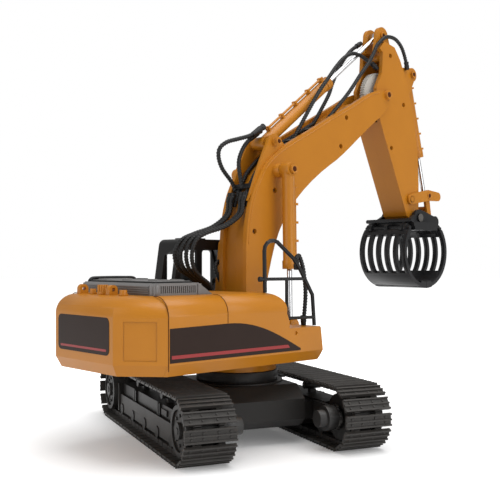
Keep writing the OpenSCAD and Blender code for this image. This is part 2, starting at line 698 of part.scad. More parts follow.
// Handrail and guard on the right of the deck
rail_y = -body_hw + 13;
function rail_point(x, z) = [x, rail_y - 0.16 * (x + 19), z];
rail_path = concat(
    [[-19, deck_z + 0.15], [-19.6, deck_z + 33]],
    arc([-11.6, deck_z + 32.5], 8, 180, 60, 5),
    [[8, deck_z + 26.5], [14.7, deck_z + 17.7], [26.6, deck_z - 2.5], [step_front - 4.5, step_z + 0.5]]);
module rail_bar(x0, z0, x1, z1, r) tube_bar(rail_point(x0, z0), rail_point(x1, z1), r);
module guard_rail() color(BLACK) upper() {
    sweep([for (p = rail_path) rail_point(p[0], p[1])], 1.6, 10);
    rail_bar(-23, deck_z + 10.5, 19.5, deck_z + 10.5, 1.3);
    rail_bar(-24.5, deck_z + 10.5, -22, deck_z + 10.5, 2);
    rail_bar(1.5, step_z, 1.5, deck_z + 10.5, 1.4);
    rail_bar(-2, step_z + 7, 28.5, step_z + 7, 1.3);
}

// ================================================================ boom
boom_foot_r = 10.9;
boom_back = concat(
    [[-4.9, 122]],
    bezier([-4.9, 150], [-5, 172], [-1.5, 194], [6.5, 209], 7),
    bezier([14, 222], [24, 236], [44, 247], [69, 259.5], 7),
    [[98, 275.5], [128, 291], [152.5, 304.5], [168, 310.5]]);
boom_outline = concat(
    arc(boom_foot, boom_foot_r, 180, 360, 12),
    [[17, 122]],
    bezier([24, 147], [33, 180], [52, 202], [86, 225], 8),
    bezier([98, 232.5], [118, 243], [143, 266.5], [168, 283], 7),
    [[177, 290], [184, 297.5]],
    arc([181.5, 305.5], 6, -35, 100, 7),
    [for (i = [len(boom_back) - 1:-1:0]) boom_back[i]]);
// how far the channel between the boom's edges lies in from its outline
channel = [3.2, -4.2];
channel_y = boom_hw - 4.5;
boom_screw_at = [[120.5, 278], [112.6, 250.7], [4.4, 169.6], [28, 205]];

module boom_core() intersection() {
    polygon(boom_outline);
    translate(channel) polygon(boom_outline);
}
cheek_in = channel_y - 1;

// One half of the boom: a moulded shell with a channel along its back and an open fork at the stick
module boom_shell(side) color(YELLOW) upper() mirror([0, side < 0 ? 1 : 0, 0]) difference() {
    union() {
        difference() {
            union() {
                slab(0, boom_hw) boom_core();
                slab(channel_y, boom_hw) polygon(boom_outline);
            }
            slab(-1, boom_hw - boom_wall) offset(delta = -boom_wall) boom_core();
            slab(-1, boom_hw - boom_wall) translate(stick_pivot) circle(r = 31);
        }
        bar(boom_foot, foot_pin_r + 2.5, 0, boom_hw);
        bar(boom_cyl_pin, 5, 0, boom_hw);
        bar(boom_cyl_pin, 6, boom_hw - 0.5, boom_cyl_y - barrel_r - side_gap);
        for (p = boom_screw_at) bar(p, 3.2, 0, boom_hw - 0.5);
        // cheek that carries the stick cylinder
        slab(cheek_in, cheek_in + 3) {
            polygon([[-0.4, 195], [10, 214], [30, 232], [46, 243], stick_cyl_pin + [6.4, 2.6],
                stick_cyl_pin + [-6.4, 2.6], [13.1, 227.6]]);
            translate(stick_cyl_pin) circle(r = 6.9);
        }
        bar(stick_cyl_pin, 4.6, barrel_r + side_gap + 1, cheek_in + 0.5);
        bar(stick_pivot, 4.6, boom_hw - 0.5, boom_hw + 1.2);
    }
    bar(boom_foot, foot_pin_r + run_fit, -1, boom_hw + 1);
    bar(boom_cyl_pin, 2.5, -1, boom_cyl_y);
    bar(stick_pivot, big_pin_r, -1, boom_hw + 3);
    bar(stick_cyl_pin, pin_r, -1, boom_hw);
    for (p = boom_screw_at) {
        bar(p, 1.2, -1, boom_hw - 2);
        bar(p, 2.3, boom_hw - 5, boom_hw + 1);
    }
}

module boom_pins() color(STEEL) upper() {
    end = boom_cyl_y + barrel_r + side_gap;
    bar(boom_cyl_pin, 2.5, -end, end);
    both() bar(boom_cyl_pin, 3.8, end, end + 1.6);
    bar(stick_pivot, big_pin_r, -boom_hw - 1.2, boom_hw + 1.2);
    both() bar(stick_pivot, 4.6, boom_hw + 1.2, boom_hw + 2.2);
    bar(stick_cyl_pin, pin_r, -cheek_in - 3, cheek_in + 3);
    both() bar(stick_cyl_pin, 3.4, cheek_in + 3, cheek_in + 4.2);
    for (p = boom_screw_at) {
        bar(p, 1.2, -boom_hw + 5, boom_hw - 5);
        both() bar(p, 2.3, boom_hw - 5, boom_hw - 3.4);
    }
}

// The gearbox and motor of the stick, gripped between the boom's two shells
module stick_motor() color(STEEL) upper() along([98, 255], [150, 286]) {
    block([-14, -boom_hw + boom_wall, -7], [12, boom_hw - boom_wall, 7]);
    translate([-26, 0, 0]) rotate([0, 90, 0]) cylinder(r = 6.5, h = 12);
}

// ---- cylinders: drawn along their own axis from the eye, then turned to their far pin
module along(from, to) translate([from[0], 0, from[1]]) rotate([0, -angle_of(from, to), 0]) children();

module barrel(len, eye_w, pin) {
    r = barrel_r;
    difference() {
        union() {
            bar([0, 0], r + 0.6, -eye_w / 2, eye_w / 2);
            rotate([0, 90, 0]) cylinder(r = r, h = len - 1);
            translate([len - 7, 0, 0]) rotate([0, 90, 0]) cylinder(r = r + 0.7, h = 7);
            // feed pipe with its clips
            translate([r + 6, 0, r + 2.2]) rotate([0, 90, 0]) cylinder(r = 1.1, h = len - r - 10);
            for (i = [0:4]) let (x = r + 8 + i * (len - r - 16) / 4)
                block([x - 1, -2.4, 0], [x + 1, 2.4, r + 3.8]);
        }
        translate([r + 4, 0, 0]) rotate([0, 90, 0]) cylinder(r = rod_r + run_fit, h = len);
        bar([0, 0], pin + run_fit, -eye_w, eye_w);
    }
}

// A rod from inside its barrel to its eye at a distance len from the barrel's own eye
module rod(inside, len, eye_r, eye_w, hole) {
    difference() {
        union() {
            translate([inside, 0, 0]) rotate([0, 90, 0]) cylinder(r = rod_r, h = len - inside);
            translate([len, 0, 0]) bar([0, 0], eye_r, -eye_w / 2, eye_w / 2);
        }
        translate([len, 0, 0]) bar([0, 0], hole, -eye_w, eye_w);
    }
}

boom_cyl_len = norm(boom_rod_pin - boom_cyl_pin);
boom_barrel_len = 83;
module boom_barrel(side) color(YELLOW) upper() translate([0, side * boom_cyl_y, 0])
    along(boom_cyl_pin, boom_rod_pin) barrel(boom_barrel_len, 2 * barrel_r, 2.5);
module boom_rod(side) color(CHROME) upper() translate([0, side * boom_cyl_y, 0])
    along(boom_cyl_pin, boom_rod_pin) rod(30, boom_cyl_len, 4, 5.2, 1.6);

stick_cyl_len = norm(stick_rod_pin - stick_cyl_pin);
stick_barrel_len = 106;
stick_ear_in = 4.8;
module stick_barrel() color(YELLOW) upper() along(stick_cyl_pin, stick_rod_pin)
    barrel(stick_barrel_len, 2 * (barrel_r + 1), pin_r);
module stick_rod() color(CHROME) upper() along(stick_cyl_pin, stick_rod_pin)
    rod(70, stick_cyl_len, 4.6, 2 * (stick_ear_in - side_gap), 1.8);

tool_cyl_len = norm(tool_rod_pin - tool_cyl_pin);
tool_barrel_len = 85;
module tool_barrel() color(YELLOW) upper() along(tool_cyl_pin, tool_rod_pin)
    barrel(tool_barrel_len, 2 * (barrel_r + 0.8), pin_r);
module tool_rod() color(CHROME) upper() along(tool_cyl_pin, tool_rod_pin)
    rod(46, tool_cyl_len, 4.2, 8.4, 1.6);

// ================================================================ stick
stick_outline = concat(
    [[216, 191]],
    arc(tool_pivot, 7.5, 200, 340, 6),
    [[236, 224], [234, 259], [227, 296], [216, 325], [205, 346], [196, 357], [180, 360], [172.5, 352],
        [177.5, 349], [176, 329], [167.5, 313], [168.5, 300], [172.5, 283.5]]);
stick_screw_at = [[189.5, 347.6], [210.7, 302], [191.2, 257]];
head_slot = [[164, 372], [200, 372], [198, 351], [188, 345], [186, 330], [180, 281], [150, 281]];
head_slot_y = stick_hw - 4;
gear_teeth_big = 56;

module stick_shell(side) color(YELLOW) upper() mirror([0, side < 0 ? 1 : 0, 0]) {
    ear_r = 8.5;
    difference() {
        union() {
            difference() {
                slab(0, stick_hw) polygon(stick_outline);
                slab(-1, stick_hw - wall) offset(delta = -wall) polygon(stick_outline);
                slab(-1, head_slot_y) polygon(head_slot);
            }
            bar(stick_pivot, big_pin_r + 3, 0, stick_hw);
            bar(tool_pivot, 5.2, 0, stick_hw);
            bar(rocker_pivot, 4.5, 0, stick_hw);
            for (p = stick_screw_at) bar(p, 3.2, 0, stick_hw - 0.5);
            // ears for the stick cylinder's rod
            slab(stick_ear_in, stick_ear_in + 4) {
                polygon([[173, 351], [199, 352], stick_rod_pin + [ear_r - 0.6, 2],
                    stick_rod_pin + [-ear_r + 0.4, 2]]);
                translate(stick_rod_pin) circle(r = ear_r);
            }
            // bracket for the tool cylinder
            slab(barrel_r + 0.8 + side_gap, barrel_r + 3.8 + side_gap) {
                polygon([[206, 340], tool_cyl_pin + [-2, 6.6], tool_cyl_pin + [3, -6], [222, 306]]);
                translate(tool_cyl_pin) circle(r = 7);
            }
        }
        bar(stick_pivot, big_pin_r + run_fit, -1, stick_hw + 1);
        bar(tool_pivot, 2.5, -1, stick_hw + 1);
        bar(rocker_pivot, pin_r, -1, stick_hw + 1);
        bar(tool_cyl_pin, pin_r, -1, stick_hw + 1);
        for (p = stick_screw_at) {
            bar(p, 1.2, -1, stick_hw - 2);
            bar(p, 2.3, stick_hw - 4.5, stick_hw + 1);
        }
    }
}

module stick_pins() color(STEEL) upper() {
    bar(rocker_pivot, pin_r, -rocker_in - 3, rocker_in + 3);
    both() bar(rocker_pivot, 3.4, rocker_in + 2.7, rocker_in + 3);
    bar(tool_pivot, 2.5, -frame_in - 4, frame_in + 4);
    both() bar(tool_pivot, 4, frame_in + 3.5, frame_in + 4.6);
    lug = barrel_r + 3.8 + side_gap;
    bar(tool_cyl_pin, pin_r, -lug, lug);
    both() bar(tool_cyl_pin, 3.4, lug, lug + 1.1);
    both() bar(stick_rod_pin, 3.6, stick_ear_in + 4, stick_ear_in + 5.2);
    for (p = stick_screw_at) {
        bar(p, 1.2, -stick_hw + 4.5, stick_hw - 4.5);
        both() bar(p, 2.3, stick_hw - 4.5, stick_hw - 3);
    }
}

// White gear of the stick's drive, fixed on the stick's hub and seen in the slot at its head
module stick_gear() color(WHITE) upper() difference() {
    slab(-6, -1.5) translate(stick_pivot) gear_outline(gear_teeth_big, 0);
    bar(stick_pivot, big_pin_r + 3, -10, 10);
}

// ================================================================ tool linkage and grab
module rocker() color(YELLOW) upper() {
    t = 2.4;
    boss = 4.3;
    both() difference() {
        union() {
            slab(rocker_in, rocker_in + t) {
                polygon([rocker_pivot + [-1.5, 5], rocker_pivot + [0, -5.2], link_pin + [0, -5.2],
                    tool_rod_pin + [0, -rocker_end_r], tool_rod_pin + [0, rocker_end_r],
                    link_pin + [-2, 6]]);
                for (p = [rocker_pivot, link_pin]) translate(p) circle(r = 5.2);
                translate(tool_rod_pin) circle(r = rocker_end_r);
            }
            bar(tool_rod_pin, 3.4, boss + side_gap, rocker_in + 0.5);
        }
        bar(rocker_pivot, pin_r + run_fit, rocker_in - 1, rocker_in + 5);
    }
    bar(link_pin, 2, -rocker_in - 0.5, rocker_in + 0.5);
}

module tool_link() color(YELLOW) upper() {
    t = 3;
    difference() {
        union() {
            both() slab(link_out - t, link_out) {
                d = link_foot - link_pin;
                n = [-d[1], d[0]] / norm(d) * 3.4;
                polygon([link_pin + n, link_pin - n, link_foot - n, link_foot + n]);
                translate(link_pin) circle(r = 4.6);
                translate(link_foot) circle(r = 4.6);
            }
            d = (link_foot + link_pin) / 2;
            bar(d, 3, -link_out + 1, link_out - 1);
        }
        bar(link_pin, 2 + run_fit, -link_out - 1, link_out + 1);
        bar(link_foot, 1.8, -link_out - 1, link_out + 1);
    }
}

frame_half = grab_w / 2;
module grab_frame() color(BLACK) upper() {
    cx = drum_centre[0];
    base = jaw_pin_z - 2;
    difference() {
        union() {
            // box over the jaws, with a rounded hump behind the stick's end
            block([cx - 19, -frame_half, base], [cx + 19, frame_half, tool_pivot[1] - 8.2]);
            slab(-frame_half, frame_half)
                polygon([[cx - 18, base + 2], [cx - 20.6, base + 4], [cx - 20.8, base + 7],
                    [cx - 25, base + 8], [cx - 25.6, base + 9.8], [cx - 24, base + 11.4],
                    [cx - 21, base + 11.2], [cx - 18, base + 4]]);
            both() block([cx - 19, frame_in, base], [cx + 19, frame_half, base + 8]);
            both() slab(frame_in, frame_in + 3) {
                polygon([[cx - 22, base], [cx + 24, base], link_foot + [5, -3], link_foot + [-3, 5.8],
                    tool_pivot + [3, 8], tool_pivot + [-8, 3], [cx - 25, base + 8]]);
                translate(tool_pivot) circle(r = 8.5);
                translate(link_foot) circle(r = 6);
            }
            both() bar(tool_pivot, 6.5, rocker_in, frame_in + 0.5);
            both() bar(link_foot, 3, link_out + side_gap, frame_in + 0.5);
            // ends that carry the jaws' hinge pins
            both() for (s = [-1, 1]) slab(frame_in - 0.2, frame_in + 3) {
                translate([cx + s * jaw_pin_dx, jaw_pin_z]) circle(r = 4.4);
                translate([min(cx, cx + s * jaw_pin_dx), base]) square([jaw_pin_dx, 4.4]);
            }
            for (s = [-1, 1]) bar([cx + s * jaw_pin_dx, jaw_pin_z], 1.8, -frame_half + 1, frame_half - 1);
        }
        bar(tool_pivot, 2.5 + run_fit, -frame_half, frame_half);
    }
}

// A jaw: half a slotted drum with a solid lip, on arms to its hinge pin
module jaw() {
    w = grab_w / 2;
    t = 3.6;
    top = 42;
    pin_at = [jaw_pin_dx, jaw_pin_z - drum_centre[1]];
    rib = 4.4;
    pitch = (grab_w - rib) / grab_slots;
    slot_from = -36;
    slot_to = 29;
    module arm() {
        translate(pin_at) circle(r = 4.2);
        polygon([pin_at + [-2.5, -3], pin_at + [3.5, 2.6], (grab_r - 0.2) * [cos(32), sin(32)],
            (grab_r - t + 0.2) * [cos(26), sin(26)]]);
    }
    module sector(r0, r1, a0, a1, y0, y1)
        translate([0, y1, 0]) rotate([90, 0, 0]) rotate([0, 0, a0])
            rotate_extrude(angle = a1 - a0, $fn = 96) translate([r0, 0]) square([r1 - r0, y1 - y0]);
    difference() {
        union() {
            sector(grab_r - t, grab_r, -90 + 0.3, top, -w, w);
            sector(grab_r - t - 2.5, grab_r + 0.5, -90 + 0.3, -74, -w, w);
            both() slab(frame_in + 3 + side_gap, frame_in + 6.2 + side_gap) arm();
            slab(-2, 2) arm();
        }
        for (i = [0:grab_slots - 1]) let (y = -w + rib + i * pitch)
            sector(grab_r - t - 4, grab_r + 4, slot_from, slot_to, y, y + pitch - rib);
        bar(pin_at, 1.8 + run_fit, -w, w);
        both() slab(frame_in - 0.2 - side_gap, frame_in + 3 + side_gap)
            translate(pin_at) circle(r = 4.4 + side_gap);
    }
}

module at_drum() upper() translate([drum_centre[0], 0, drum_centre[1]]) children();
module jaw_front() color(BLACK) at_drum() jaw();
module jaw_rear() color(BLACK) at_drum() mirror([1, 0, 0]) jaw();

// ================================================================ hoses
// Each route is a short list of chosen points, [x, y, z] from the slewing axis
deck_hose_y = [[12.6, -9.4], [17.1, -5.6], [21.6, 5.6], [26.1, 9.4]];
// The strands nearest the boom bulge out the least, so the bundle fans out: this much less for
// each millimetre that a strand lies nearer to it than the last one
fan = 0.55;
function deck_route(low, high) = let (inward = fan * (deck_hose_y[3][0] - low)) [
    [-12, low, floor_z + floor_t + 0.1], [-12, low, 103], [-17, low, 122.5], [-29, low, 132],
    [-42 + 0.7 * inward, low - 1, 139], [-47 + inward, low - 2, 151], [-42 + 0.7 * inward, low - 4, 162],
    [-29, (2 * low + high) / 3, 168], [-14, (low + 2 * high) / 3, 174], [-4, high, 184], [-1.4, high, 196]];

// How the hoses lie in the boom's channel: a little over its surface
function boom_lie(i) = let (t = unit(boom_back[i + 1] - boom_back[i - 1]))
    boom_back[i] + channel + (hose_r + 0.35) * [-t[1], t[0]];
function boom_route(y, last) = [for (i = [6:last]) let (p = boom_lie(i)) [p[0], y, p[1]]];
// A route that goes on just past the end of another
function from_last(route, rest) = let (end = route[len(route) - 1], way = unit(end - route[len(route) - 2]))
    concat([end + 0.8 * way], rest);

boom_hose_a = boom_route(-9.4, 17);
boom_hose_b = boom_route(-5.6, 15);
boom_hose_c = boom_route(5.6, 17);
loop_route = [[6.8, 9.4, 204], [2.4, 9.4, 212], [-9, 8, 222], [-15, 6, 231], [-15.5, 4, 238.5],
    [-9.5, 2, 244], [1, 0, 247.5], [12, -2, 251], [22, -2.5, 256], [28, -2.5, 260.5]];
short_route = [[7.3, 1, 206], [4.6, 1, 216], [3.5, 1.6, 229], [9, 2, 241], [17.5, 2, 250],
    [27.5, 2, 257.4]];
tip_a = [[126, -13.5, 301], [141.5, -15, 320], [158, -14.5, 338], [170, -13, 354.5]];
over_head = [[170.4, -13, 355], [182, -12.4, 364.2], [192, -12, 367], [202, -12, 365.8],
    [211, -12, 359.5], [217, -12, 349], [219.5, -12, 341]];
tip_b = [[78, -9.5, 281], [90, -11, 299], [102, -11.5, 313], [114, -10.5, 325.5], [127, -8.5, 336],
    [140, -6.5, 342.5], [152, -5.5, 343.5], [163, -6, 340.5], [174, -8.6, 335]];
tip_c = [[123, 8.4, 301.5], [131, 9.4, 316], [141, 9.4, 333], [155, 9, 349.5], [170, 9, 360]];
rail_hose = [[14, -55.7, 140], [14.4, -55.3, 147], [18, -54.8, 149], [23.4, -54, 139], [26.8, -53.5, 122],
    [26, -53.5, 107], [24.5, -53.5, 97], [24.5, -53.5, step_z + 0.1]];
foot_hose = [[6.4, 26.5, 143], [0, 25.5, 144], [-5, 21.8, 139.5], [-3.6, 19.5, 131],
    [1.5, 19.5, 124], [4.5, 19.5, boom_foot[1] + foot_pin_r + 5.5]];

module hose(route, steps) sweep(smooth(route, steps), hose_r, 8);

module deck_hoses() color(BLACK) upper() for (y = deck_hose_y) hose(deck_route(y[0], y[1]), 3);
module service_hoses() color(BLACK) upper() {
    hose(rail_hose, 3);
    hose(foot_hose, 3);
}
module boom_hoses() color(BLACK) upper() {
    hose(boom_hose_a, 1);
    hose(boom_hose_b, 1);
    hose(boom_hose_c, 1);
    hose(loop_route, 3);
    hose(short_route, 3);
}
module tip_hoses() color(BLACK) upper() {
    hose(from_last(boom_hose_a, tip_a), 4);
    hose(from_last(boom_hose_b, tip_b), 3);
    hose(from_last(boom_hose_c, tip_c), 4);
}
module stick_hoses() color(BLACK) upper() {
    hose(over_head, 3);
    bar([219.5, 340.4], 2.7, -14, -barrel_r - 3.8 - side_gap);
}

// ================================================================ what is drawn
chassis();
slew_bearing();
slew_ring_gear();
track_frame(1);  // track_frame_left
track_frame(-1);  // track_frame_right
track_rollers();
track_belt(1);  // track_belt_left
track_belt(-1);  // track_belt_right
drive_motors();
sprocket(1);  // sprocket_left
sprocket(-1);  // sprocket_right
idler(1);  // idler_left
idler(-1);  // idler_right
turret_floor();
slew_motor();
slew_pinion();
battery_pack();
circuit_board();
counterweight();
engine_cover_left();
engine_cover_right();
front_deck();
tank_step();
cab_base();
engine_hood();
hood_lid();
deck_fittings();
deck_hoses();
service_hoses();
cab_frame();
cab_seat();
cab_mirror();
hose_tower();
guard_rail();
power_switch();
boom_drive();
boom_shell(1);  // boom_shell_left
boom_shell(-1);  // boom_shell_right
boom_pins();
boom_hoses();
tip_hoses();
stick_motor();
boom_barrel(1);  // boom_barrel_left
boom_barrel(-1);  // boom_barrel_right
boom_rod(1);  // boom_rod_left
boom_rod(-1);  // boom_rod_right
stick_barrel();
stick_rod();
stick_shell(1);  // stick_shell_left
stick_shell(-1);  // stick_shell_right
stick_pins();
stick_gear();
stick_hoses();
tool_barrel();
tool_rod();
rocker();
tool_link();
grab_frame();
jaw_front();
jaw_rear();
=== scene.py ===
# %% [markdown]
# # A toy crawler excavator
# The pieces themselves come from a CAD model, which this script loads as a fixed frame.
# What is made here is everything that the eye reads as real: the finish of each plastic and
# metal, the ribbed hoses, the vinyl panels, the clips, the trims and the ends of the pins.
# Everything is in metres, in the CAD model's own place, so nothing is fitted by eye.

# %% Load the frame
import json
import math

import bmesh
import bpy
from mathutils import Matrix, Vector


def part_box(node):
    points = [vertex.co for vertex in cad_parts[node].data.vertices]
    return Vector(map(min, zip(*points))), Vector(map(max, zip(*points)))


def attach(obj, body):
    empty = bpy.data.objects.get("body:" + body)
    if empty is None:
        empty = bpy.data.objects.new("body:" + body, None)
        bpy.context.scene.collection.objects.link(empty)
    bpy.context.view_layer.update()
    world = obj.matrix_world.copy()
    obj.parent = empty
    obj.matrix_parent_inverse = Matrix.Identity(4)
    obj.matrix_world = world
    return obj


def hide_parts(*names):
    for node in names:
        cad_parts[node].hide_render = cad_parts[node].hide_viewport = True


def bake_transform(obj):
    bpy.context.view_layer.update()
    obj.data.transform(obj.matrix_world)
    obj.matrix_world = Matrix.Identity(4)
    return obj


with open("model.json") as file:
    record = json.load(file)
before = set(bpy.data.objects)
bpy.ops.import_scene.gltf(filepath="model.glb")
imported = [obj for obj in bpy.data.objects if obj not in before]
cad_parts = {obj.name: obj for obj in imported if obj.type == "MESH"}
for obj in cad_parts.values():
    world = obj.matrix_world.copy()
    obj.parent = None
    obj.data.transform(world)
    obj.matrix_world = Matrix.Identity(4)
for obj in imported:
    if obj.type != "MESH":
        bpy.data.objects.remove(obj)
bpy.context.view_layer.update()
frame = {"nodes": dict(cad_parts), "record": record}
nodes = frame["nodes"]
MM = 0.001

# %% [markdown]
# The real model turns about its slewing ring, so that is the natural place to measure from.
# `at` turns millimetres forward, left and up from the slewing axis into the frame's metres.

# %% Measure from the slewing axis
ring_low, ring_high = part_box("slew_bearing")
axis_x = (ring_low[0] + ring_high[0]) / 2
axis_y = (ring_low[1] + ring_high[1]) / 2


def at(x, y, z):
    return Vector((axis_x + x * MM, axis_y + y * MM, z * MM))


def edge(node, side, axis):
    """One face of a node's box in millimetres from the slewing axis: side 0 is low and 1 is high."""
    return (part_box(node)[side][axis] - (axis_x, axis_y, 0)[axis]) / MM


print("slewing axis at", round(axis_x, 4), round(axis_y, 4))

# %% [markdown]
# ## Camera
# The model is seen from behind its right rear corner, a little above the tracks, with the lens
# level. A level lens keeps the boom's uprights parallel, and a small shift frames the tall boom.

# %% The camera
CAMERA_PLACE = (-443.5, -499.7, 143.5)
CAMERA_AIM = (0.676, 0.737, 0.0)
LENS, SENSOR = 57.4, 36
SHIFT_UP = 0.026
camera_data = bpy.data.cameras.new("camera")
camera = bpy.data.objects.new("camera", camera_data)
bpy.context.scene.collection.objects.link(camera)
camera.location = at(*CAMERA_PLACE)
camera.rotation_euler = Vector(CAMERA_AIM).to_track_quat("-Z", "Y").to_euler()
camera_data.sensor_width = SENSOR
camera_data.lens = LENS
camera_data.shift_y = SHIFT_UP
camera_data.clip_start = 0.01
bpy.context.scene.camera = camera
print("camera", [round(v, 3) for v in camera.location])

# %% [markdown]
# ## Shared effects
# Moulded plastic is never one flat value. Three small effects appear in many finishes, so each
# is a node group that is built once: fine grain from the mould, a slow drift of the colour from
# one area to the next, and dust that settles on faces that look up.

# %% Helpers that build node groups
FLOAT, COLOUR = "NodeSocketFloat", "NodeSocketColor"


def make_group(name, inputs, outputs):
    """A shader node group with float or colour sockets, and its own input and output nodes."""
    group = bpy.data.node_groups.new(name, "ShaderNodeTree")
    for label, kind, value in inputs:
        socket = group.interface.new_socket(name=label, in_out="INPUT", socket_type=kind)
        socket.default_value = value
    for label, kind in outputs:
        group.interface.new_socket(name=label, in_out="OUTPUT", socket_type=kind)
    return group, group.nodes.new("NodeGroupInput"), group.nodes.new("NodeGroupOutput")


def add_math(tree, operation):
    node = tree.nodes.new("ShaderNodeMath")
    node.operation = operation
    return node


def add_noise(tree, detail, scale=None):
    """Noise over the piece's own coordinates. Without a scale here, its scale socket gets a link."""
    place = tree.nodes.new("ShaderNodeTexCoord")
    noise = tree.nodes.new("ShaderNodeTexNoise")
    noise.inputs["Detail"].default_value = detail
    if scale:
        noise.inputs["Scale"].default_value = scale
    tree.links.new(place.outputs["Object"], noise.inputs["Vector"])
    return noise


def add_mix(tree):
    """A node that mixes two colours."""
    mix = tree.nodes.new("ShaderNodeMix")
    mix.data_type = "RGBA"
    return mix


def add_group(tree, group, **values):
    """Puts a group into a tree and sets its sockets."""
    node = tree.nodes.new("ShaderNodeGroup")
    node.node_tree = group
    for label, value in values.items():
        node.inputs[label].default_value = value
    return node


# %% Mould grain: height for a bump, and a roughness that varies a little


def build_grain():
    group, gin, gout = make_group(
        "mould grain",
        [("Scale", FLOAT, 900.0), ("Roughness", FLOAT, 0.4), ("Spread", FLOAT, 0.08)],
        [("Height", FLOAT), ("Roughness", FLOAT)],
    )
    link = group.links.new
    fine = add_noise(group, 3)
    broad = add_noise(group, 4, 45)
    centre = add_math(group, "SUBTRACT")
    centre.inputs[1].default_value = 0.5
    swing = add_math(group, "MULTIPLY_ADD")
    link(gin.outputs["Scale"], fine.inputs["Scale"])
    link(broad.outputs["Fac"], centre.inputs[0])
    link(centre.outputs[0], swing.inputs[0])
    link(gin.outputs["Spread"], swing.inputs[1])
    link(gin.outputs["Roughness"], swing.inputs[2])
    link(fine.outputs["Fac"], gout.inputs["Height"])
    link(swing.outputs[0], gout.inputs["Roughness"])
    return group


grain = build_grain()

# %% Colour drift: the same plastic, a little lighter or darker from place to place


def build_drift():
    group, gin, gout = make_group(
        "colour drift",
        [
            ("Colour", COLOUR, (0.5, 0.5, 0.5, 1)),
            ("Dark", COLOUR, (0.4, 0.4, 0.4, 1)),
            ("Scale", FLOAT, 30.0),
        ],
        [("Colour", COLOUR)],
    )
    link = group.links.new
    noise = add_noise(group, 5)
    mix = add_mix(group)
    link(gin.outputs["Scale"], noise.inputs["Scale"])
    link(noise.outputs["Fac"], mix.inputs["Factor"])
    link(gin.outputs["Colour"], mix.inputs["A"])
    link(gin.outputs["Dark"], mix.inputs["B"])
    link(mix.outputs["Result"], gout.inputs["Colour"])
    return group


drift = build_drift()

# %% Dust on faces that look up, broken up by noise


def build_dust():
    group, gin, gout = make_group(
        "settled dust",
        [
            ("Colour", COLOUR, (0.5, 0.5, 0.5, 1)),
            ("Dust", COLOUR, (0.3, 0.28, 0.25, 1)),
            ("Amount", FLOAT, 0.2),
        ],
        [("Colour", COLOUR)],
    )
    new, link = group.nodes.new, group.links.new
    surface = new("ShaderNodeNewGeometry")
    split = new("ShaderNodeSeparateXYZ")
    noise = add_noise(group, 6, 160)
    up = new("ShaderNodeMapRange")
    up.inputs["From Min"].default_value = -0.2
    patch = add_math(group, "MULTIPLY")
    amount = add_math(group, "MULTIPLY")
    mix = add_mix(group)
    link(surface.outputs["Normal"], split.inputs[0])
    link(split.outputs["Z"], up.inputs["Value"])
    link(up.outputs["Result"], patch.inputs[0])
    link(noise.outputs["Fac"], patch.inputs[1])
    link(patch.outputs[0], amount.inputs[0])
    link(gin.outputs["Amount"], amount.inputs[1])
    link(amount.outputs[0], mix.inputs["Factor"])
    link(gin.outputs["Colour"], mix.inputs["A"])
    link(gin.outputs["Dust"], mix.inputs["B"])
    link(mix.outputs["Result"], gout.inputs["Colour"])
    return group


dust = build_dust()
print("groups", [g.name for g in bpy.data.node_groups])

# %% [markdown]
# ## Finishes
# One recipe serves every moulded part: drift and dust give the colour, grain gives the bump and
# the roughness, and the values that stay the same all over sit on the shader itself.

# %% Moulded plastic


def moulded(name, colour, dark, rough, spread=0.08, bump=0.05, scale=900.0, dust_amount=0.1, shine=0.5):
    """Plastic that drifts between two colours, with grain of a given scale and an amount of dust."""
    material = bpy.data.materials.new(name)
    material.use_nodes = True
    tree = material.node_tree
    shader = tree.nodes["Principled BSDF"]
    tint = add_group(tree, drift, Colour=(*colour, 1), Dark=(*dark, 1))
    settled = add_group(tree, dust, Amount=dust_amount)
    skin = add_group(tree, grain, Scale=scale, Roughness=rough, Spread=spread)
    relief = tree.nodes.new("ShaderNodeBump")
    relief.inputs["Strength"].default_value = bump
    relief.inputs["Distance"].default_value = 0.0002
    tree.links.new(tint.outputs["Colour"], settled.inputs["Colour"])
    tree.links.new(settled.outputs["Colour"], shader.inputs["Base Color"])
    tree.links.new(skin.outputs["Roughness"], shader.inputs["Roughness"])
    tree.links.new(skin.outputs["Height"], relief.inputs["Height"])
    tree.links.new(relief.outputs["Normal"], shader.inputs["Normal"])
    shader.inputs["Specular IOR Level"].default_value = shine
    return material


